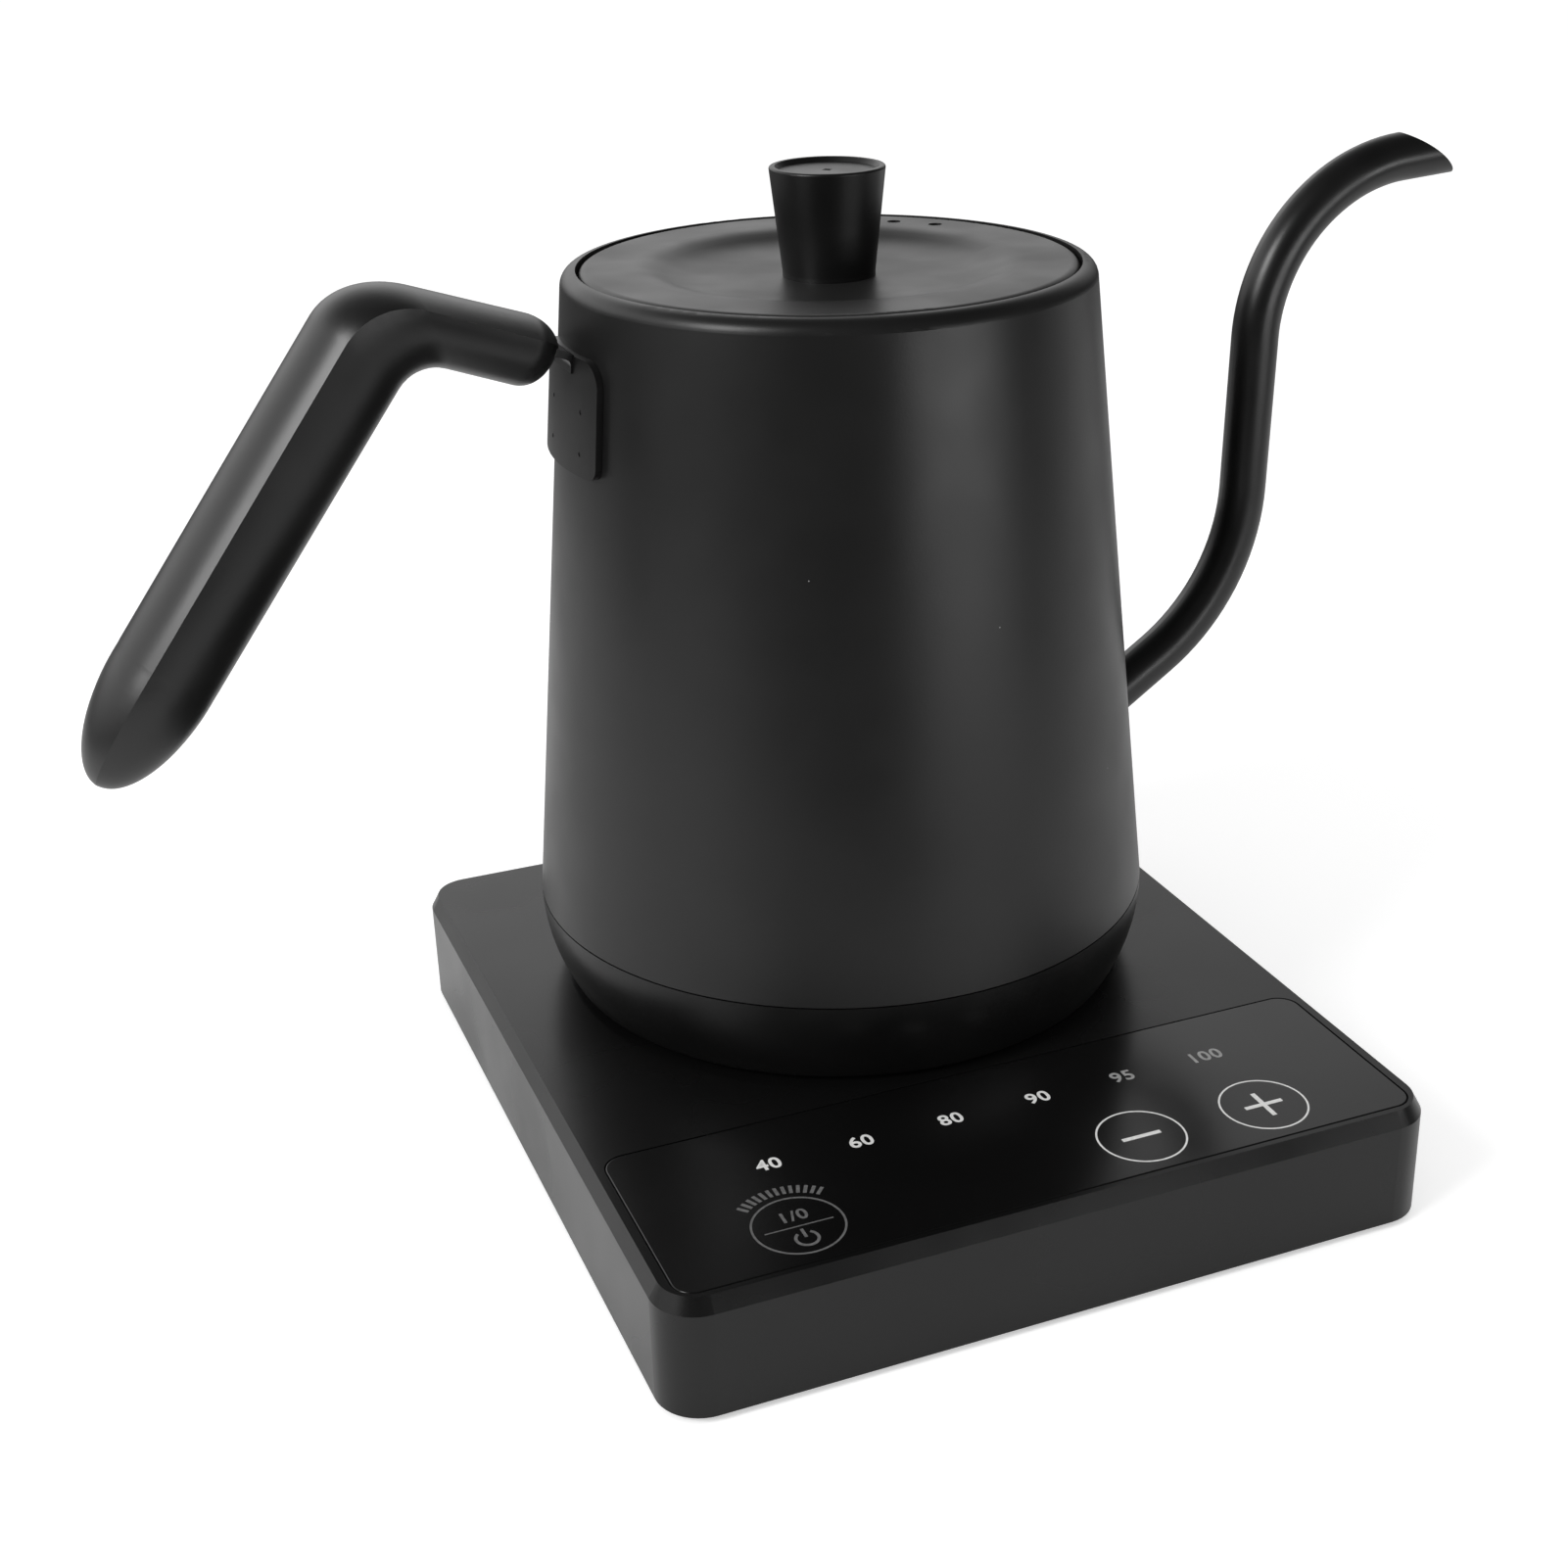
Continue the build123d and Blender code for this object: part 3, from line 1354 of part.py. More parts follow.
with BuildPart() as handle_bracket:
    with BuildSketch(jug_radial(180 - bracket_half_turn)):
        with BuildLine():
            Polyline(
                (shell_r(bracket_low_z) + bracket_fit, bracket_low_z),
                (shell_r(bracket_low_z) + bracket_fit + bracket_thick, bracket_low_z),
                (shell_r(bracket_high_z) + bracket_fit + bracket_thick, bracket_high_z),
                (shell_r(bracket_high_z) + bracket_fit, bracket_high_z),
                close=True,
            )
        make_face()
    revolve(axis=jug_axis, revolution_arc=2 * bracket_half_turn)
    for place, radius in zip((-1, 0), bracket_corners):
        short = handle_bracket.edges().filter_by(lambda edge: edge.length < 1.2 * bracket_thick)
        fillet(short.group_by(Axis.Z)[place], radius)
    # marks of the four spot welds
    for z in weld_zs:
        for turn in weld_turns:
            face = jug_radial(180 + turn)
            mark = face.from_local_coords((shell_r(z) + bracket_fit + bracket_thick - weld_deep, z, 0))
            with BuildSketch(Plane(origin=mark, z_dir=face.x_dir)):
                Circle(weld_r)
            extrude(amount=bracket_thick, mode=Mode.SUBTRACT)
    with BuildSketch(jug_section):
        with BuildLine():
            FilletPolyline(flat(tang_foot), flat(tang_root), flat(tang_end), radius=tang_bend)
        trace(line_width=bracket_thick)
    extrude(amount=tang_w / 2, both=True)
    add(handle_rivets.part, mode=Mode.SUBTRACT)
handle_bracket.part.label = "handle_bracket"
export_step(handle_bracket.part, "parts/handle_bracket.step")

# steel strap from the bracket's tang round the bend and down the long arm
core_corner = corner - bend_out * (core_depth / cos(half_turn))
with BuildPart() as handle_core:
    with BuildSketch(jug_section):
        with BuildLine():
            FilletPolyline(
                flat(along_arm(core_arm, core_depth)),
                flat(core_corner),
                flat(along_leg(core_leg, core_depth)),
                radius=core_bend,
            )
        trace(line_width=core_thick)
    extrude(amount=core_w / 2, both=True)
    add(handle_rivets.part, mode=Mode.SUBTRACT)
handle_core.part.label = "handle_core"
export_step(handle_core.part, "parts/handle_core.step")

# the moulded grip round the strap
with BuildPart() as handle_grip:
    loft(jug_end)
    loft([jug_end[0], bend[0]])
    loft(bend)
    loft([bend[-1], low_end[0]])
    loft(low_end)
    for insert in (handle_bracket, handle_core, handle_rivets):
        add(insert.part, mode=Mode.SUBTRACT)
handle_grip.part.label = "handle_grip"
export_step(handle_grip.part, "parts/handle_grip.step")

# ================================================================ LID
lid_edge_r = mouth_r - lid_edge_gap
lid_edge_round = 1.6
lid_edge_gap_low = 0.3    # the turned-down edge hangs this far above the ledge
dish_ease_high = dish_outer_r - 6.0
dish_ease_low = dish_inner_r + 11.5
lid_hole_r = 2.2
with BuildPart() as lid_disc:
    with BuildSketch(jug_section):
        with BuildLine():
            Line((lid_hole_r, dish_z), (dish_inner_r, dish_z))
            Bezier(
                (dish_inner_r, dish_z),
                (dish_ease_low, dish_z),
                (dish_ease_high, lid_z),
                (dish_outer_r, lid_z),
            )
            Polyline(
                (dish_outer_r, lid_z),
                (lid_edge_r, lid_z),
                (lid_edge_r, ledge_z + lid_edge_gap_low),
                (lid_edge_r - lid_sheet, ledge_z + lid_edge_gap_low),
                (lid_edge_r - lid_sheet, lid_z - lid_sheet),
                (dish_outer_r, lid_z - lid_sheet),
            )
            Bezier(
                (dish_outer_r, lid_z - lid_sheet),
                (dish_ease_high, lid_z - lid_sheet),
                (dish_ease_low, dish_z - lid_sheet),
                (dish_inner_r, dish_z - lid_sheet),
            )
            Polyline(
                (dish_inner_r, dish_z - lid_sheet),
                (lid_hole_r, dish_z - lid_sheet),
                (lid_hole_r, dish_z),
            )
        sheet = make_face()
        fillet(sheet.vertices().sort_by_distance((lid_edge_r, lid_z, 0)).first, lid_edge_round)
        inner = sheet.vertices().sort_by_distance((lid_edge_r - lid_sheet, lid_z - lid_sheet, 0)).first
        fillet(inner, lid_edge_round - lid_sheet)
    revolve(axis=jug_axis)
    for turn in vent_angles:
        with BuildSketch(jug_level(lid_z)):
            with PolarLocations(vent_ring_r, 1, start_angle=turn):
                Circle(vent_r)
        extrude(amount=-lid_sheet, mode=Mode.SUBTRACT)
lid_disc.part.label = "lid_disc"
export_step(lid_disc.part, "parts/lid_disc.step")

# plastic tube under the lid: guides it in the collar and carries the seal between two ribs
skirt_tube_wall = 1.2
skirt_tube_low = lid_z - 14.4
seal_low = lid_z - 9.0
seal_high = lid_z - 6.1
seal_play = 0.1
rib_r = 45.3
rib_thick = 0.8
with BuildPart() as lid_inner_skirt:
    with BuildSketch(jug_section):
        for inside, outside, low, high in (
            (skirt_tube_r - skirt_tube_wall, skirt_tube_r, skirt_tube_low, lid_z - lid_sheet),
            (skirt_tube_r, rib_r, seal_low - seal_play - rib_thick, seal_low - seal_play),
            (skirt_tube_r, rib_r, seal_high + seal_play, seal_high + seal_play + rib_thick),
        ):
            with Locations(((inside + outside) / 2, (low + high) / 2)):
                Rectangle(outside - inside, high - low)
    revolve(axis=jug_axis)
    # clearance under the two steam vents
    for turn in vent_angles:
        with BuildSketch(jug_level(lid_z - lid_sheet)):
            with PolarLocations(vent_ring_r, 1, start_angle=turn):
                Circle(vent_r)
        extrude(amount=-3, mode=Mode.SUBTRACT)
lid_inner_skirt.part.label = "lid_inner_skirt"
export_step(lid_inner_skirt.part, "parts/lid_inner_skirt.step")

inner_plate_thick = 0.8
steam_hole_r = 1.5
steam_ring_r = 34.0
with BuildPart() as lid_inner_plate:
    with BuildSketch(jug_level(skirt_tube_low)):
        Circle(skirt_tube_r - skirt_tube_wall - 0.02)
        with PolarLocations(steam_ring_r, 12):
            Circle(steam_hole_r, mode=Mode.SUBTRACT)
    extrude(amount=inner_plate_thick)
lid_inner_plate.part.label = "lid_inner_plate"
export_step(lid_inner_plate.part, "parts/lid_inner_plate.step")

with BuildPart() as lid_seal:
    with BuildSketch(jug_section):
        seal_out = collar_r - seal_wall_gap
        seal_in = skirt_tube_r + seal_fit
        with Locations(((seal_in + seal_out) / 2, (seal_low + seal_high) / 2)):
            ring = Rectangle(seal_out - seal_in, seal_high - seal_low)
        fillet(ring.vertices().group_by(Axis.X)[-1], 0.5)
    revolve(axis=jug_axis)
lid_seal.part.label = "lid_seal"
export_step(lid_seal.part, "parts/lid_seal.step")

# hollow tapered knob with a raised, bevelled rim round its cap
knob_waist_z = dish_z + 0.8     # straight up to here, tapered above
knob_waist_round = 6.0
knob_rim_round = 0.45
knob_wall = 2.0
rim_w = 1.2
rim_bevel = 0.65
rim_deep = 0.9
cap_r = knob_top_r - rim_w - rim_bevel
cap_thick = 1.5
cap_seat = 1.4
knob_boss_r = 4.0
knob_boss_high = 12.0
knob_floor = 3.0
knob_bore_r = 1.95
cap_top_z = knob_top_z - rim_deep
with BuildPart() as lid_knob:
    with BuildSketch(jug_section):
        with BuildLine():
            Polyline(
                (knob_bore_r, dish_z),
                (knob_foot_r, dish_z),
                (knob_foot_r, knob_waist_z),
                (knob_top_r, knob_top_z),
                (knob_top_r - rim_w, knob_top_z),
                (cap_r, cap_top_z),
                (cap_r, cap_top_z - cap_thick),
                (cap_r - cap_seat, cap_top_z - cap_thick),
                (knob_foot_r - knob_wall, dish_z + knob_floor),
                (knob_boss_r, dish_z + knob_floor),
                (knob_boss_r, dish_z + knob_boss_high),
                (knob_bore_r, dish_z + knob_boss_high),
                close=True,
            )
        body = make_face()
        fillet(body.vertices().sort_by_distance((knob_top_r, knob_top_z, 0)).first, knob_rim_round)
        fillet(body.vertices().sort_by_distance((knob_foot_r, knob_waist_z, 0)).first, knob_waist_round)
    revolve(axis=jug_axis)
lid_knob.part.label = "lid_knob"
export_step(lid_knob.part, "parts/lid_knob.step")

dimple = 1.6
with BuildPart() as knob_cap:
    with BuildSketch(jug_level(cap_top_z)):
        Circle(cap_r - 0.05)
    extrude(amount=-cap_thick)
    with BuildSketch(jug_level(cap_top_z)):
        Rectangle(dimple, dimple, rotation=45)
    extrude(amount=-dimple / 2, taper=40, mode=Mode.SUBTRACT)
knob_cap.part.label = "knob_cap"
export_step(knob_cap.part, "parts/knob_cap.step")

# screw and washer that hold the knob from inside the lid
washer_thick = 0.8
washer_r = 6.0
knob_screw_r = 1.9
knob_screw_head_r = 3.8
knob_screw_head_h = 1.8
knob_screw_length = 11.0
washer_z = dish_z - lid_sheet - washer_thick
with BuildPart() as knob_washer:
    with BuildSketch(jug_level(washer_z)):
        Circle(washer_r)
        Circle(lid_hole_r, mode=Mode.SUBTRACT)
    extrude(amount=washer_thick)
knob_washer.part.label = "knob_washer"
export_step(knob_washer.part, "parts/knob_washer.step")

inside_screw = Rot(180, 0, 0) * screw(
    knob_screw_head_r, knob_screw_head_h, knob_screw_r, knob_screw_length
)
with BuildPart() as knob_screw:
    with Locations(jug_level(washer_z)):
        add(inside_screw)
knob_screw.part.label = "knob_screw"
export_step(knob_screw.part, "parts/knob_screw.step")
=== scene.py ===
# %% [markdown]
# # A black gooseneck kettle on its power base
# The solids of the kettle come ready made from the CAD model, in metres, standing where they belong.
# This lesson gives every one of them a finish, adds the printing on the touch panel, and sets up the
# studio. Nothing that came from the CAD is moved, so all the joints keep working.

# %% Load the solid model and measure it
from math import cos, radians, sin

import bmesh
import bpy
from mathutils import Matrix, Vector


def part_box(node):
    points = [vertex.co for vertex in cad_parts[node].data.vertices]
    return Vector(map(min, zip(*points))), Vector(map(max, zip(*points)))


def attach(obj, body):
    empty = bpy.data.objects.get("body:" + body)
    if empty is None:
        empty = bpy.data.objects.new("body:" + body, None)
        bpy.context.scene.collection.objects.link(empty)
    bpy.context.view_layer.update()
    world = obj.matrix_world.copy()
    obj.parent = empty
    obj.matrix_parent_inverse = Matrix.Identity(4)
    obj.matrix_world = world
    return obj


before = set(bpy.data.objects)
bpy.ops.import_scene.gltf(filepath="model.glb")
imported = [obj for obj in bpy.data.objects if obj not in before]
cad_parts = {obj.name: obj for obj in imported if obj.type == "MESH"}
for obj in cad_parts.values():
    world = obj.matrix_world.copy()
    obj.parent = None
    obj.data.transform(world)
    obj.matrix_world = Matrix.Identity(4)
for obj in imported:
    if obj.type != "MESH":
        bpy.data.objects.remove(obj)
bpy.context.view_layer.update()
MM = 0.001
base_low, base_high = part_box("base_housing")
BASE_X = (base_low[0] + base_high[0]) / 2
print("middle of the base at x =", round(BASE_X / MM, 2), "mm")

# %% [markdown]
# ## Camera
# A product shot of a kettle is taken from a little above and from the left, with a lens of about
# 50 mm on a full-frame sensor. The camera is described by what it looks at, two angles, a distance and
# a slight roll. Building its matrix from those numbers is exact, where aiming it with a constraint
# would leave something live in the file. The lens is shifted sideways a little, which moves the
# kettle in the frame without turning the view.

# %% Camera
LOOK_AT = Vector((BASE_X - 6.267 * MM, 2.060 * MM, 73.027 * MM))
AZIMUTH, ELEVATION, ROLL = radians(-22.441), radians(24.441), radians(-1.022)
DISTANCE = 469.12 * MM

back = Vector((sin(AZIMUTH) * cos(ELEVATION), -cos(AZIMUTH) * cos(ELEVATION), sin(ELEVATION)))
level_right = Vector((cos(AZIMUTH), sin(AZIMUTH), 0))
level_up = back.cross(level_right)
right = cos(ROLL) * level_right + sin(ROLL) * level_up
up = back.cross(right)

lens = bpy.data.cameras.new("camera")
lens.sensor_width = 36
lens.lens = 51.83
lens.shift_x = -0.0414
lens.shift_y = 0.0033
lens.clip_start = 0.02
lens.clip_end = 50
camera = bpy.data.objects.new("camera", lens)
stance = Matrix((right, up, back)).transposed().to_4x4()
camera.matrix_world = Matrix.Translation(LOOK_AT + DISTANCE * back) @ stance
bpy.context.scene.collection.objects.link(camera)
bpy.context.scene.camera = camera
print("camera stands at", [round(c, 4) for c in camera.matrix_world.translation])

# %% [markdown]
# ## Studio light
# A black object shows hardly any colour of its own: what the eye reads is what it mirrors. So the
# studio matters more than the paint. The room is white where the lens sees it. What the kettle
# mirrors is white low down behind it, and dimmer overhead and on the camera's side, as in a studio
# where only the backdrop is lit. A soft box hangs high on the left and draws the gleam along the
# grip's edge. A low box stands at the front right and draws the soft upright gleam on the jug.

# %% Helpers for light
def soft_step(tree, source, low, high, before, after):
    """A value that runs gently from before, where source is low, to after, where it is high."""
    step = tree.nodes.new("ShaderNodeMapRange")
    step.interpolation_type = "SMOOTHSTEP"
    step.inputs["From Min"].default_value, step.inputs["From Max"].default_value = low, high
    step.inputs["To Min"].default_value, step.inputs["To Max"].default_value = before, after
    tree.links.new(source, step.inputs["Value"])
    return step.outputs["Result"]


def maths(tree, operation, first, second):
    """One number worked out from two sockets."""
    worked = tree.nodes.new("ShaderNodeMath")
    worked.operation = operation
    tree.links.new(first, worked.inputs[0])
    tree.links.new(second, worked.inputs[1])
    return worked.outputs[0]


def mixed(tree, share, without, fully):
    """A shader that turns from one into another as share goes from 0 to 1."""
    mix = tree.nodes.new("ShaderNodeMixShader")
    for socket, source in zip(mix.inputs, (share, without, fully)):
        tree.links.new(source, socket)
    return mix.outputs[0]


print("light helpers ready")

# %% [markdown]
# The room is worked out from the direction in which a mirrored ray leaves. One step makes it bright
# towards the backdrop, one dims it below the skyline, and one dims it again towards the ceiling.

# %% The room in the mirror
BACKDROP_SIDE = (-0.53, 0.85, 0.0)
UNLIT_SIDE, LIT_SIDE = 0.1, 1.9

world = bpy.data.worlds.new("studio")
bpy.context.scene.world = world
world.use_nodes = True
studio = world.node_tree
studio.nodes.clear()
direction = studio.nodes.new("ShaderNodeTexCoord").outputs["Generated"]
towards_back = studio.nodes.new("ShaderNodeVectorMath")
towards_back.operation = "DOT_PRODUCT"
towards_back.inputs[1].default_value = BACKDROP_SIDE
studio.links.new(direction, towards_back.inputs[0])
direction_parts = studio.nodes.new("ShaderNodeSeparateXYZ")
studio.links.new(direction, direction_parts.inputs[0])
height = direction_parts.outputs["Z"]

# Heights here are the sines of the angle above the floor: 0.26 is 15 degrees, 0.85 is 58 degrees.
side_light = soft_step(studio, towards_back.outputs["Value"], -0.3, 0.95, UNLIT_SIDE, LIT_SIDE)
skyline = soft_step(studio, height, -0.05, 0.26, 0.2, 1.0)
ceiling = soft_step(studio, height, 0.45, 0.85, 1.0, 0.15)
band = maths(studio, "MULTIPLY", skyline, ceiling)
mirrored = studio.nodes.new("ShaderNodeBackground")
studio.links.new(maths(studio, "MULTIPLY", side_light, band), mirrored.inputs["Strength"])
print("mirrored room:", len(studio.nodes), "nodes")

# %% [markdown]
# Only shiny and clear surfaces see that room. Matt surfaces get an even light, and the lens sees plain
# white.

# %% World
EVEN_LIGHT = 0.85
even = studio.nodes.new("ShaderNodeBackground")
even.inputs["Strength"].default_value = EVEN_LIGHT
white = studio.nodes.new("ShaderNodeBackground")
white.inputs["Color"].default_value = (1, 1, 1, 1)
ray = studio.nodes.new("ShaderNodeLightPath").outputs
shine = maths(studio, "MAXIMUM", ray["Is Glossy Ray"], ray["Is Transmission Ray"])
for_surfaces = mixed(studio, shine, even.outputs[0], mirrored.outputs[0])
room = studio.nodes.new("ShaderNodeOutputWorld")
for_all = mixed(studio, ray["Is Camera Ray"], for_surfaces, white.outputs[0])
studio.links.new(for_all, room.inputs["Surface"])
print("world:", len(studio.nodes), "nodes")

# %% [markdown]
# A soft box is a rectangular area lamp. It is aimed once, by turning the line from its aim to its stand
# into a rotation, so nothing live stays in the file.


# %% Soft boxes
def soft_box(name, place, aim, width, height, watts):
    """A rectangular area lamp at place that faces aim."""
    lamp = bpy.data.lights.new(name, "AREA")
    lamp.shape = "RECTANGLE"
    lamp.size, lamp.size_y = width, height
    lamp.energy = watts
    stand = bpy.data.objects.new(name, lamp)
    turn = (Vector(place) - Vector(aim)).to_track_quat("Z", "Y")
    stand.matrix_world = Matrix.Translation(place) @ turn.to_matrix().to_4x4()
    bpy.context.scene.collection.objects.link(stand)


soft_box("left_box", (-0.98, -0.33, 0.76), aim=(-0.13, -0.02, 0.14), width=0.4, height=0.5, watts=8)
soft_box("low_box", (0.5, -0.92, 0.09), aim=(0, 0.02, 0.1), width=0.7, height=0.16, watts=2.5)

# %% [markdown]
# ## Floor
# The kettle stands on a plain white sheet. For the camera a little glow is added, so that the open
# sheet comes out white while the soft shadow under the base stays. What the kettle mirrors of the
# sheet is painted light: its colour is painted darker towards the front, the far end and the left,
# round a painted lit patch near the object. The sheet is only staging.

# %% Floor
SHEET_HALF = 6.0
sheet_mesh = bpy.data.meshes.new("floor")
grid = bmesh.new()
bmesh.ops.create_grid(grid, x_segments=1, y_segments=1, size=SHEET_HALF)
grid.to_mesh(sheet_mesh)
grid.free()
floor = bpy.data.objects.new("floor", sheet_mesh)
bpy.context.scene.collection.objects.link(floor)
print("floor is", round(floor.dimensions.x, 1), "m wide")

# %% [markdown]
# Under the room's even light a matt white sheet comes out light grey. So the paper has two faces: the
# lens sees white with a little glow, and everything else sees a painted lit patch that fades away.

# %% Paper
PAPER_WHITE = 0.82
LENS_GLOW = 0.46

paper = bpy.data.materials.new("floor_paper")
paper.use_nodes = True
sheet = paper.node_tree
sheet.nodes.clear()
spot = sheet.nodes.new("ShaderNodeSeparateXYZ")
sheet.links.new(sheet.nodes.new("ShaderNodeTexCoord").outputs["Object"], spot.inputs[0])
# Painted light: for everything but the lens, the paper's colour is a painted lit patch, darker away
# from it.
# Distances in metres from the kettle: the patch runs from 0.15 in front to 0.3 behind.
painted_front_fade = soft_step(sheet, spot.outputs["Y"], -0.38, -0.15, 0.04, 0.95)
painted_far_fade = soft_step(sheet, spot.outputs["Y"], 0.3, 0.9, 1.0, 0.15)
painted_left_fade = soft_step(sheet, spot.outputs["X"], -0.75, -0.4, 0.2, 1.0)
painted_lit_patch = maths(sheet, "MULTIPLY", maths(sheet, "MULTIPLY", painted_front_fade, painted_far_fade), painted_left_fade)

for_lens = sheet.nodes.new("ShaderNodeLightPath").outputs["Is Camera Ray"]
shade = sheet.nodes.new("ShaderNodeMix")
shade.inputs["B"].default_value = PAPER_WHITE
sheet.links.new(for_lens, shade.inputs["Factor"])
sheet.links.new(painted_lit_patch, shade.inputs["A"])
matt = sheet.nodes.new("ShaderNodeBsdfDiffuse")
sheet.links.new(shade.outputs["Result"], matt.inputs["Color"])

glow_share = sheet.nodes.new("ShaderNodeMath")
glow_share.operation = "MULTIPLY"
glow_share.inputs[1].default_value = LENS_GLOW
sheet.links.new(for_lens, glow_share.inputs[0])
glow = sheet.nodes.new("ShaderNodeEmission")
sheet.links.new(glow_share.outputs[0], glow.inputs["Strength"])
both = sheet.nodes.new("ShaderNodeAddShader")
sheet.links.new(matt.outputs[0], both.inputs[0])
sheet.links.new(glow.outputs[0], both.inputs[1])
laid = sheet.nodes.new("ShaderNodeOutputMaterial")
sheet.links.new(both.outputs[0], laid.inputs["Surface"])
sheet_mesh.materials.append(paper)
print("paper:", len(sheet.nodes), "nodes")

# %% [markdown]
# ## A kit for finishes
# Every finish starts as one Principled shader with an even colour and gloss. The blacks of the kettle
# are not quite neutral: a breath of warmth keeps them from looking blue beside the white.


# %% Plain finish
def finish(name, colour, roughness, metallic=0.0, specular=0.5):
    """A new material with one Principled shader; returns the material."""
    material = bpy.data.materials.new(name)
    material.use_nodes = True
    shader = shader_of(material)
    shader.inputs["Base Color"].default_value = (*colour, 1)
    shader.inputs["Roughness"].default_value = roughness
    shader.inputs["Metallic"].default_value = metallic
    shader.inputs["Specular IOR Level"].default_value = specular
    return material


def shader_of(material):
    """The Principled shader of a material."""
    return material.node_tree.nodes["Principled BSDF"]


def grey(value):
    """A neutral colour with a breath of warmth."""
    return (value, value * 0.99, value * 0.985)


def dress(material, *names):
    """Gives CAD pieces this finish."""
    for name in names:
        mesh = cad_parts[name].data
        mesh.materials.clear()
        mesh.materials.append(material)


print("a middle grey is", grey(0.5))

# %% [markdown]
# Nothing real is quite even. What varies is worked out from the place of a point on the object, so it
# doesn't slide when the kettle moves. Noise does the varying, and most of its values lie between 0.3
# and 0.7, so the helpers after it stretch that part.

# %% Noise on the object
NOISE_LOW, NOISE_HIGH = 0.3, 0.7


def place_on(material):
    """The place of a point on the object, from one node that the whole material shares."""
    nodes = material.node_tree.nodes
    place = nodes.get("place")
    if place is None:
        place = nodes.new("ShaderNodeTexCoord")
        place.name = "place"
    return place.outputs["Object"]


def noise(material, size, stretch):
    """Noise whose features are about size metres across; stretch squeezes it along an axis."""
    tree = material.node_tree
    lay = tree.nodes.new("ShaderNodeMapping")
    lay.inputs["Scale"].default_value = stretch
    tree.links.new(place_on(material), lay.inputs["Vector"])
    cloud = tree.nodes.new("ShaderNodeTexNoise")
    cloud.inputs["Scale"].default_value = 1 / size
    tree.links.new(lay.outputs["Vector"], cloud.inputs["Vector"])
    return cloud.outputs["Fac"]


print("noise is read from", NOISE_LOW, "to", NOISE_HIGH)

# %% [markdown]
# `tint` lets the colour drift between two shades, and `sheen_drift` lets the gloss vary.


# %% Tint and sheen
def tint(material, dark, light, size, stretch=(1, 1, 1)):
    """Colour that drifts between two shades; returns it for whatever lies on top."""
    tree = material.node_tree
    ramp = tree.nodes.new("ShaderNodeValToRGB")
    for stop, place, shade in zip(ramp.color_ramp.elements, (NOISE_LOW, NOISE_HIGH), (dark, light)):
        stop.position = place
        stop.color = (*shade, 1)
    tree.links.new(noise(material, size, stretch), ramp.inputs["Fac"])
    tree.links.new(ramp.outputs["Color"], shader_of(material).inputs["Base Color"])
    return ramp.outputs["Color"]


def sheen_drift(material, low, high, size, stretch=(1, 1, 1)):
    """Roughness that varies between low and high."""
    tree = material.node_tree
    span = tree.nodes.new("ShaderNodeMapRange")
    span.inputs["From Min"].default_value = NOISE_LOW
    span.inputs["From Max"].default_value = NOISE_HIGH
    span.inputs["To Min"].default_value = low
    span.inputs["To Max"].default_value = high
    tree.links.new(noise(material, size, stretch), span.inputs["Value"])
    tree.links.new(span.outputs["Result"], shader_of(material).inputs["Roughness"])


print("tint and sheen ready")

# %% [markdown]
# `grain` raises a fine relief, and `dust` scatters sparse pale specks: each cell of a Voronoi pattern
# holds one speck at its middle.


# %% Grain and dust
def grain(material, size, height, strength, stretch=(1, 1, 1)):
    """A relief of height metres with features about size metres across."""
    tree = material.node_tree
    relief = tree.nodes.new("ShaderNodeBump")
    relief.inputs["Strength"].default_value = strength
    relief.inputs["Distance"].default_value = height
    tree.links.new(noise(material, size, stretch), relief.inputs["Height"])
    tree.links.new(relief.outputs["Normal"], shader_of(material).inputs["Normal"])


def dust(material, colour, spacing, radius, shade):
    """Sparse pale specks on top of a tinted colour."""
    tree = material.node_tree
    cells = tree.nodes.new("ShaderNodeTexVoronoi")
    cells.inputs["Scale"].default_value = 1 / spacing
    tree.links.new(place_on(material), cells.inputs["Vector"])
    speck = tree.nodes.new("ShaderNodeMath")
    speck.operation = "LESS_THAN"
    speck.inputs[1].default_value = radius / spacing
    tree.links.new(cells.outputs["Distance"], speck.inputs[0])
    over = tree.nodes.new("ShaderNodeMix")
    over.data_type = "RGBA"
    over.inputs["B"].default_value = (*shade, 1)
    tree.links.new(speck.outputs[0], over.inputs["Factor"])
    tree.links.new(colour, over.inputs["A"])
    tree.links.new(over.outputs["Result"], shader_of(material).inputs["Base Color"])


print("grain and dust ready")

# %% [markdown]
# ## Coated steel: jug, bracket, lid and spout
# The stainless jug is sprayed with a matt black coat. Close up such a coat is a fine even grain, a
# third of a millimetre across, with a faint unevenness in its gloss, and it always catches some dust.
# The lid is sprayed the same way but has been wiped and is smoother. The spout's coat went on
# wetter, so it shines a little more.

# %% Coats
jug_coat = finish("jug_coat", grey(0.007), 0.37, specular=0.4)
coat_tint = tint(jug_coat, grey(0.006), grey(0.0085), 0.03)
dust(jug_coat, coat_tint, 0.014, 0.00014, (0.3, 0.3, 0.3))
sheen_drift(jug_coat, 0.34, 0.4, 0.02)
grain(jug_coat, 0.00045, 0.00002, 0.5)
dress(jug_coat, "jug_shell", "handle_bracket")

lid_coat = finish("lid_coat", grey(0.012), 0.4, specular=0.5)
lid_tint = tint(lid_coat, grey(0.0105), grey(0.0145), 0.02)
dust(lid_coat, lid_tint, 0.012, 0.00012, (0.32, 0.32, 0.32))
sheen_drift(lid_coat, 0.36, 0.44, 0.015)
grain(lid_coat, 0.0004, 0.00002, 0.3)
dress(lid_coat, "lid_disc")

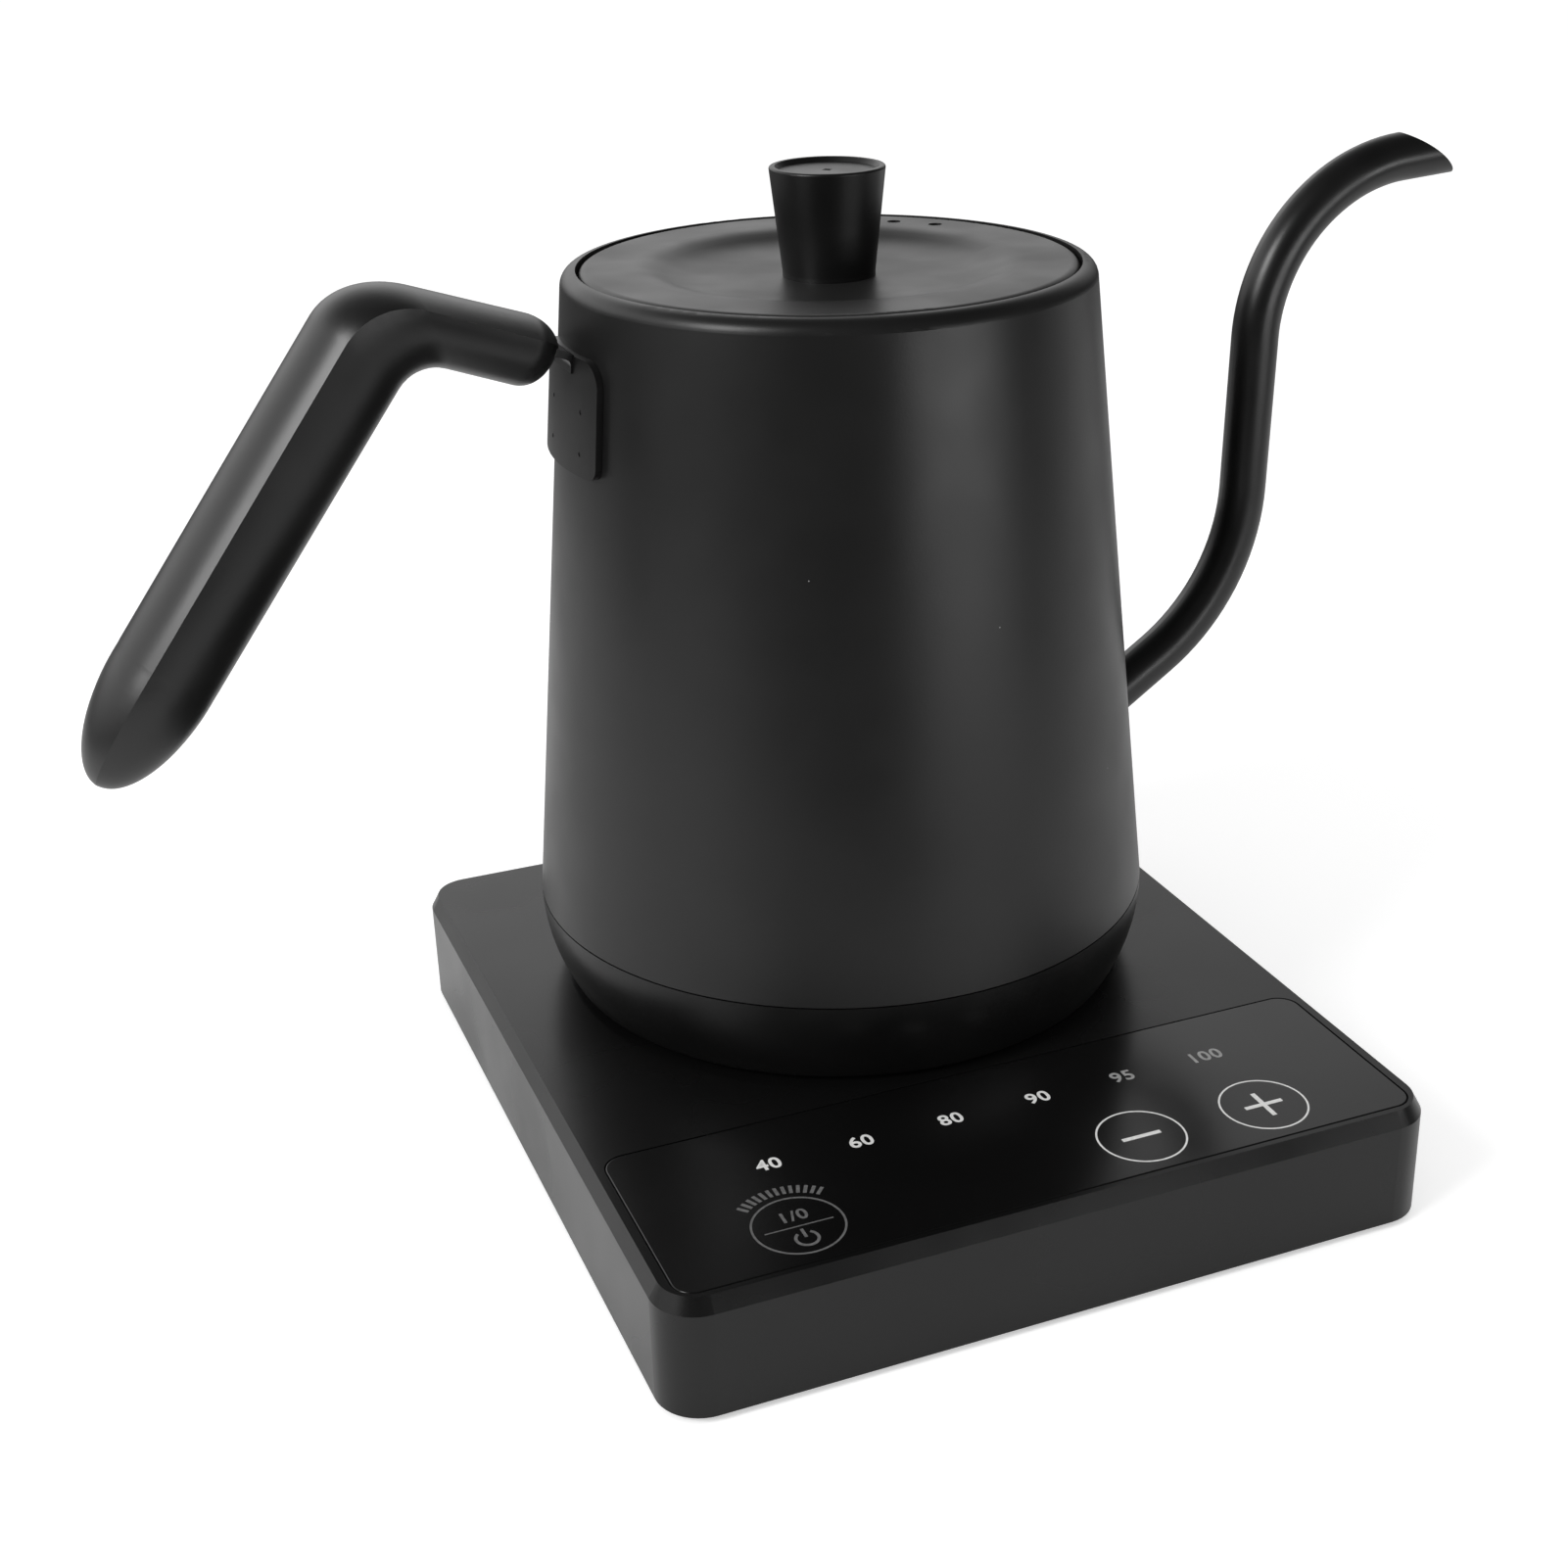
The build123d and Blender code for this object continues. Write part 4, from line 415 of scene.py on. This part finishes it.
spout_coat = finish("spout_coat", grey(0.005), 0.34, specular=0.5)
tint(spout_coat, grey(0.004), grey(0.006), 0.02)
sheen_drift(spout_coat, 0.3, 0.38, 0.012)
grain(spout_coat, 0.0008, 0.00002, 0.25)
dress(spout_coat, "spout_tube")
print("coats:", jug_coat.name, lid_coat.name, spout_coat.name)

# %% [markdown]
# ## Moulded plastics
# The base, the skirt, the grip and the knob are moulded in black plastic, and the mould's surface
# shows on them. The base is nearly polished, and the overlay of its touch panel is glossier still.

# %% Base and touch panel
base_plastic = finish("base_plastic", grey(0.004), 0.26, specular=0.36)
tint(base_plastic, grey(0.0035), grey(0.005), 0.05)
sheen_drift(base_plastic, 0.22, 0.3, 0.03)
grain(base_plastic, 0.0011, 0.00002, 0.2)
dress(base_plastic, "base_housing")

panel_gloss = finish("panel_gloss", grey(0.0035), 0.2)
tint(panel_gloss, grey(0.003), grey(0.004), 0.04)
sheen_drift(panel_gloss, 0.17, 0.24, 0.025)
grain(panel_gloss, 0.003, 0.00001, 0.2)
dress(panel_gloss, "touch_panel")
print("base and panel:", base_plastic.name, panel_gloss.name)

# %% [markdown]
# The skirt is satin. The grip and the knob have a soft spark-eroded grain that feels dry in the hand.

# %% Skirt, grip and knob
skirt_plastic = finish("skirt_plastic", grey(0.0035), 0.34, specular=0.4)
tint(skirt_plastic, grey(0.003), grey(0.004), 0.02)
sheen_drift(skirt_plastic, 0.3, 0.38, 0.02)
grain(skirt_plastic, 0.0005, 0.00002, 0.3)
dress(skirt_plastic, "jug_skirt")

grip_plastic = finish("grip_plastic", grey(0.006), 0.34)
tint(grip_plastic, grey(0.005), grey(0.0075), 0.02)
sheen_drift(grip_plastic, 0.31, 0.37, 0.02)
grain(grip_plastic, 0.0005, 0.00002, 0.35)
dress(grip_plastic, "handle_grip")

knob_plastic = finish("knob_plastic", grey(0.005), 0.36, specular=0.34)
tint(knob_plastic, grey(0.0045), grey(0.006), 0.01)
sheen_drift(knob_plastic, 0.32, 0.4, 0.01)
grain(knob_plastic, 0.0004, 0.00002, 0.3)
dress(knob_plastic, "lid_knob", "knob_cap")
print("skirt, grip and knob:", skirt_plastic.name, grip_plastic.name, knob_plastic.name)

# %% [markdown]
# The two covers underneath are a coarser, duller black. What carries the contacts and meets the steam
# is a resin that stands the heat.

# %% Covers and heatproof resin
under_plastic = finish("under_plastic", grey(0.018), 0.55)
tint(under_plastic, grey(0.015), grey(0.021), 0.03)
sheen_drift(under_plastic, 0.5, 0.62, 0.01)
grain(under_plastic, 0.0007, 0.00006, 0.6)
dress(under_plastic, "base_bottom_cover", "jug_bottom_cover")

resin = finish("heatproof_resin", grey(0.03), 0.5)
tint(resin, grey(0.024), grey(0.036), 0.006)
sheen_drift(resin, 0.44, 0.56, 0.01)
grain(resin, 0.0006, 0.00005, 0.5)
dress(resin, "base_connector_body", "jug_connector_housing", "contact_carrier", "lid_inner_skirt")
print("covers and resin:", under_plastic.name, resin.name)

# %% [markdown]
# ## Rubber and silicone
# The feet, the cord gland and the seals are soft. Rubber is the dullest black on the kettle, with
# fine pores. Silicone is smoother and a little greasy.

# %% Rubbers
rubber = finish("foot_rubber", grey(0.02), 0.8, specular=0.3)
tint(rubber, grey(0.016), grey(0.026), 0.004)
sheen_drift(rubber, 0.72, 0.88, 0.004)
grain(rubber, 0.0003, 0.00004, 0.7)
dress(rubber, "rubber_feet", "cord_gland")

silicone = finish("silicone", grey(0.03), 0.45)
tint(silicone, grey(0.026), grey(0.035), 0.005)
sheen_drift(silicone, 0.4, 0.52, 0.006)
grain(silicone, 0.0015, 0.00003, 0.3)
dress(silicone, "lid_seal", "probe_seal", "knob_washer")
print("rubber and silicone:", rubber.name, silicone.name)

# %% [markdown]
# ## Bare metals
# The jug's floor, the probe, the lid's inner plate and the strap in the grip are bare steel. Noise
# that is squeezed along the height draws fine level lines on their upright faces, like brushing.
# Screws and springs are zinc plated, with small bright and dull patches.

# %% Steel and zinc
steel = finish("bare_steel", (0.62, 0.61, 0.6), 0.3, metallic=1.0)
tint(steel, (0.56, 0.55, 0.54), (0.66, 0.65, 0.64), 0.004, stretch=(1, 1, 12))
sheen_drift(steel, 0.24, 0.38, 0.002, stretch=(1, 1, 14))
grain(steel, 0.0005, 0.00001, 0.5, stretch=(1, 1, 16))
dress(steel, "jug_floor", "temperature_probe", "lid_inner_plate", "handle_core")

zinc = finish("zinc_plate", (0.6, 0.61, 0.63), 0.36, metallic=1.0)
tint(zinc, (0.5, 0.51, 0.53), (0.68, 0.69, 0.71), 0.002)
sheen_drift(zinc, 0.28, 0.46, 0.0015)
grain(zinc, 0.0004, 0.00002, 0.4)
dress(
    zinc, "base_screws", "connector_screws", "board_screws", "touch_board_screws", "touch_springs",
    "connector_studs", "jug_cover_screws", "handle_rivets", "knob_screw",
)

print("steel and zinc:", steel.name, zinc.name)

# %% [markdown]
# The heater is aluminium, dull and a little stained by heat. The contacts are plated brass, scuffed
# where they rub.

# %% Heater and contacts
heater = finish("heater_aluminium", (0.7, 0.7, 0.71), 0.45, metallic=1.0)
tint(heater, (0.5, 0.47, 0.43), (0.74, 0.74, 0.75), 0.012)
sheen_drift(heater, 0.38, 0.58, 0.006)
grain(heater, 0.001, 0.00004, 0.5)
dress(heater, "heat_spreader", "heating_element")

contact = finish("contact_brass", (0.75, 0.58, 0.3), 0.28, metallic=1.0)
tint(contact, (0.62, 0.46, 0.22), (0.82, 0.66, 0.36), 0.002)
sheen_drift(contact, 0.2, 0.4, 0.001, stretch=(1, 1, 8))
grain(contact, 0.0003, 0.00001, 0.4, stretch=(1, 1, 10))
dress(
    contact, "base_contact_centre", "base_contact_inner", "base_contact_outer",
    "contact_ring_outer", "contact_ring_inner", "centre_pin",
)
print("heater and contacts:", heater.name, contact.name)

# %% [markdown]
# ## Electronics
# Nothing in the base shows from outside, but a part is judged with its cover off too. The boards are
# green fibreglass with the weave just visible, and the larger components wear the usual colours of
# their kinds: black cases, yellow tape, blue sleeves.

# %% Boards and cases
board = finish("board_green", (0.03, 0.16, 0.07), 0.35)
tint(board, (0.025, 0.13, 0.055), (0.04, 0.2, 0.09), 0.003)
sheen_drift(board, 0.3, 0.42, 0.002)
grain(board, 0.0007, 0.00003, 0.4, stretch=(1, 4, 1))
dress(board, "power_board", "touch_board")

case_black = finish("component_black", grey(0.03), 0.5)
tint(case_black, grey(0.024), grey(0.04), 0.003)
sheen_drift(case_black, 0.42, 0.6, 0.002)
grain(case_black, 0.0004, 0.00004, 0.5)
dress(case_black, "relay", "terminal_block", "buzzer", "display_module")

case_yellow = finish("component_yellow", (0.7, 0.52, 0.08), 0.4)
tint(case_yellow, (0.6, 0.44, 0.06), (0.76, 0.58, 0.11), 0.004)
sheen_drift(case_yellow, 0.34, 0.5, 0.003)
grain(case_yellow, 0.0008, 0.00004, 0.4, stretch=(1, 1, 4))
dress(case_yellow, "transformer", "film_capacitor")

sleeve_blue = finish("sleeve_blue", (0.03, 0.08, 0.3), 0.3)
tint(sleeve_blue, (0.025, 0.065, 0.25), (0.04, 0.1, 0.36), 0.004)
sheen_drift(sleeve_blue, 0.24, 0.38, 0.003)
grain(sleeve_blue, 0.0012, 0.00003, 0.3)
dress(sleeve_blue, "electrolytic_capacitors")
print("boards and cases:", board.name, case_black.name, case_yellow.name, sleeve_blue.name)

# %% [markdown]
# Ceramic is pale and dull, and turns up wherever it gets hot: in the fuse, round the element's
# terminals and in the boil-dry cutouts. The light box is milky, to spread the light of its diodes. One
# brown skin stands for the sleeves of all the conductors.

# %% Ceramic, light guide and wires
ceramic = finish("ceramic", (0.78, 0.75, 0.69), 0.4)
tint(ceramic, (0.7, 0.67, 0.6), (0.82, 0.8, 0.75), 0.003)
sheen_drift(ceramic, 0.34, 0.5, 0.002)
grain(ceramic, 0.0004, 0.00003, 0.4)
dress(ceramic, "fuse", "element_terminals", "boil_dry_cutouts")

milky = finish("light_guide", (0.8, 0.8, 0.79), 0.35)
tint(milky, (0.74, 0.74, 0.73), (0.84, 0.84, 0.83), 0.004)
sheen_drift(milky, 0.3, 0.42, 0.003)
grain(milky, 0.0006, 0.00002, 0.3)
dress(milky, "light_box", "indicator_leds")

wire_skin = finish("wire_skin", (0.25, 0.1, 0.05), 0.4)
tint(wire_skin, (0.2, 0.08, 0.04), (0.3, 0.13, 0.07), 0.005)
sheen_drift(wire_skin, 0.34, 0.5, 0.003)
grain(wire_skin, 0.0008, 0.00003, 0.4)
dress(wire_skin, "supply_wires", "connector_wires", "jug_wires", "ribbon_cable")

undressed = [name for name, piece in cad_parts.items() if not piece.data.materials]
print("pieces without a finish:", undressed)

# %% [markdown]
# ## Printing on the touch panel
# The keys are printed on the overlay in pale ink: a ring for each key, a minus, a plus, and an on/off
# key with a dividing bar. Real ink stands a few hundredths of a millimetre proud, so each sign is a
# very thin solid that lies on the panel.

# %% Ink
INK_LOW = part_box("touch_panel")[1][2] + 0.004 * MM
INK_THICK = 0.03 * MM
KEY_Y = -75.1 * MM
ROW_Y = -54.8 * MM
KEY_R = 8.65 * MM
POWER_X, MINUS_X, PLUS_X = [BASE_X + x * MM for x in (-49.5, 21.3, 48.6)]

bright_ink = finish("bright_ink", (0.75, 0.75, 0.74), 0.5)
tint(bright_ink, (0.68, 0.68, 0.67), (0.8, 0.8, 0.79), 0.0008)
sheen_drift(bright_ink, 0.42, 0.58, 0.001)
grain(bright_ink, 0.0002, 0.000005, 0.5)

soft_ink = finish("soft_ink", (0.3, 0.3, 0.3), 0.5)
tint(soft_ink, (0.24, 0.24, 0.24), (0.36, 0.36, 0.355), 0.0008)
sheen_drift(soft_ink, 0.42, 0.58, 0.001)
grain(soft_ink, 0.0002, 0.000005, 0.5)

dim_ink = finish("dim_ink", (0.12, 0.12, 0.12), 0.5)
tint(dim_ink, (0.1, 0.1, 0.1), (0.15, 0.15, 0.15), 0.0008)
sheen_drift(dim_ink, 0.42, 0.58, 0.001)
grain(dim_ink, 0.0002, 0.000005, 0.5)
print("ink lies at", round(INK_LOW / MM, 3), "mm")

# %% [markdown]
# A ring is one short edge spun round its centre, and a bar is one flat face. Both start at the height
# of the panel, are thickened together, and ride on the base.


# %% Tools for signs
def thicken(sign):
    """Turns flat faces of a sign into a closed thin solid, facing outwards."""
    lifted = bmesh.ops.extrude_face_region(sign, geom=sign.faces[:])
    top = [v for v in lifted["geom"] if isinstance(v, bmesh.types.BMVert)]
    bmesh.ops.translate(sign, vec=(0, 0, INK_THICK), verts=top)
    bmesh.ops.recalc_face_normals(sign, faces=sign.faces[:])


def ring(sign, x, y, radius, width, start=0.0, sweep=360.0, steps=96):
    """A flat ring, or a part of one, round (x, y)."""
    a = radians(start)
    inner, outer = radius - width / 2, radius + width / 2
    edge_in = sign.verts.new((x + inner * cos(a), y + inner * sin(a), INK_LOW))
    edge_out = sign.verts.new((x + outer * cos(a), y + outer * sin(a), INK_LOW))
    edge = sign.edges.new((edge_in, edge_out))
    bmesh.ops.spin(
        sign, geom=[edge_in, edge_out, edge], cent=(x, y, 0), axis=(0, 0, 1),
        angle=radians(sweep), steps=steps, use_merge=sweep >= 360,
    )


def bar(sign, x, y, length, width):
    """A flat bar centred on (x, y)."""
    place = Matrix.Translation((x, y, INK_LOW)) @ Matrix.Diagonal((length / 2, width / 2, 1, 1))
    bmesh.ops.create_grid(sign, x_segments=1, y_segments=1, size=1.0, matrix=place)


def printed(name, sign, ink):
    """Makes a finished sign an object that rides on the base."""
    mesh = bpy.data.meshes.new(name)
    sign.to_mesh(mesh)
    sign.free()
    mesh.materials.append(ink)
    piece = bpy.data.objects.new(name, mesh)
    bpy.context.scene.collection.objects.link(piece)
    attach(piece, "base")
    print(name, len(mesh.polygons), "faces")


print("sign tools ready")

# %% [markdown]
# The two bright keys change the temperature. The plus starts as a small square in the middle, and
# each of its four sides is pushed out into an arm.

# %% Minus and plus keys
RING_W = 0.38 * MM
SIGN_L = 8.3 * MM
SIGN_W = 1.0 * MM
minus = bmesh.new()
ring(minus, MINUS_X, KEY_Y, KEY_R, RING_W)
bar(minus, MINUS_X, KEY_Y, SIGN_L, SIGN_W)
thicken(minus)
printed("minus_key_print", minus, bright_ink)

plus = bmesh.new()
ring(plus, PLUS_X, KEY_Y, KEY_R, RING_W)
bar(plus, PLUS_X, KEY_Y, SIGN_W, SIGN_W)
plus.faces.ensure_lookup_table()
for side in list(plus.faces[-1].edges):
    outward = (side.verts[0].co + side.verts[1].co) / 2 - Vector((PLUS_X, KEY_Y, INK_LOW))
    arm = bmesh.ops.extrude_edge_only(plus, edges=[side])
    tips = [v for v in arm["geom"] if isinstance(v, bmesh.types.BMVert)]
    bmesh.ops.translate(plus, vec=outward.normalized() * (SIGN_L - SIGN_W) / 2, verts=tips)
thicken(plus)
printed("plus_key_print", plus, bright_ink)

# %% [markdown]
# The on/off key is printed greyer. It is a ring with a bar across, the sign for standby under the
# bar, the plain numbers 1 and 0 over it, and a row of ticks that fans round the ring.

# %% On/off key
POWER_RING_W = 0.42 * MM
DIVIDER_L, DIVIDER_W = 13.4 * MM, 0.28 * MM
STANDBY_R = 2.1 * MM
STANDBY_W = 0.6 * MM
TICK_R = 11.4 * MM
TICK_HALF = (1.2 * MM, 0.35 * MM, 1, 1)

power = bmesh.new()
ring(power, POWER_X, KEY_Y, KEY_R, POWER_RING_W)
bar(power, POWER_X, KEY_Y - 0.3 * MM, DIVIDER_L, DIVIDER_W)
ring(power, POWER_X, KEY_Y - 4.3 * MM, STANDBY_R, STANDBY_W, start=125, sweep=290, steps=40)
bar(power, POWER_X, KEY_Y - 2.6 * MM, STANDBY_W, 2.6 * MM)
for turn in range(48, 133, 7):
    a = radians(turn)
    middle = Vector((POWER_X + TICK_R * cos(a), KEY_Y + TICK_R * sin(a), INK_LOW))
    place = Matrix.Translation(middle) @ Matrix.Rotation(a, 4, "Z") @ Matrix.Diagonal(TICK_HALF)
    bmesh.ops.create_grid(power, x_segments=1, y_segments=1, size=1.0, matrix=place)
thicken(power)
printed("power_key_print", power, dim_ink)

# %% [markdown]
# The row behind the keys names the programmes by their temperature in plain numbers. Numbers are set
# with Blender's own font, whose capitals fill 0.7 of its size. They are turned into a mesh at once and
# laid on the panel.


# %% Numbers
CAPITAL_SHARE = 0.7
STROKE_GAIN = 0.028
LETTER_SPACE = 1.08
MERGE_WITHIN = 1e-7


def lettering(name, text, x, y, height, ink):
    """Plain characters centred on (x, y), as a thin solid that rides on the base."""
    curve = bpy.data.curves.new(name + "_text", "FONT")
    curve.body = text
    curve.align_x, curve.align_y = "CENTER", "CENTER"
    curve.size = height / CAPITAL_SHARE
    curve.offset = STROKE_GAIN * height
    curve.space_character = LETTER_SPACE
    curve.extrude = INK_THICK / 2
    maker = bpy.data.objects.new(name + "_text", curve)
    bpy.context.scene.collection.objects.link(maker)
    bpy.context.view_layer.update()
    graph = bpy.context.evaluated_depsgraph_get()
    shaped = bpy.data.meshes.new_from_object(maker.evaluated_get(graph))
    bpy.data.objects.remove(maker)
    letters = bmesh.new()
    letters.from_mesh(shaped)
    bmesh.ops.remove_doubles(letters, verts=letters.verts[:], dist=MERGE_WITHIN)
    bmesh.ops.translate(letters, vec=(x, y, INK_LOW + INK_THICK / 2), verts=letters.verts[:])
    printed(name, letters, ink)


temperatures = {"40": bright_ink, "60": bright_ink, "80": bright_ink, "90": bright_ink}
temperatures.update({"95": soft_ink, "100": soft_ink})
PITCH = 19.0 * MM
NUMBER_H, ONE_ZERO_H = 3.4 * MM, 3.0 * MM
for place, (text, ink) in enumerate(temperatures.items()):
    x = BASE_X + (place - (len(temperatures) - 1) / 2) * PITCH
    lettering(f"number_{text}_print", text, x, ROW_Y, NUMBER_H, ink)
lettering("one_zero_print", "1/0", POWER_X, KEY_Y + 2.9 * MM, ONE_ZERO_H, dim_ink)

# %% [markdown]
# ## Colour view
# Colours render as they are written, with the standard view transform. The dressed
# kettle has to stay inside the box of its solids.

# %% View transform
bpy.context.scene.view_settings.view_transform = "Standard"
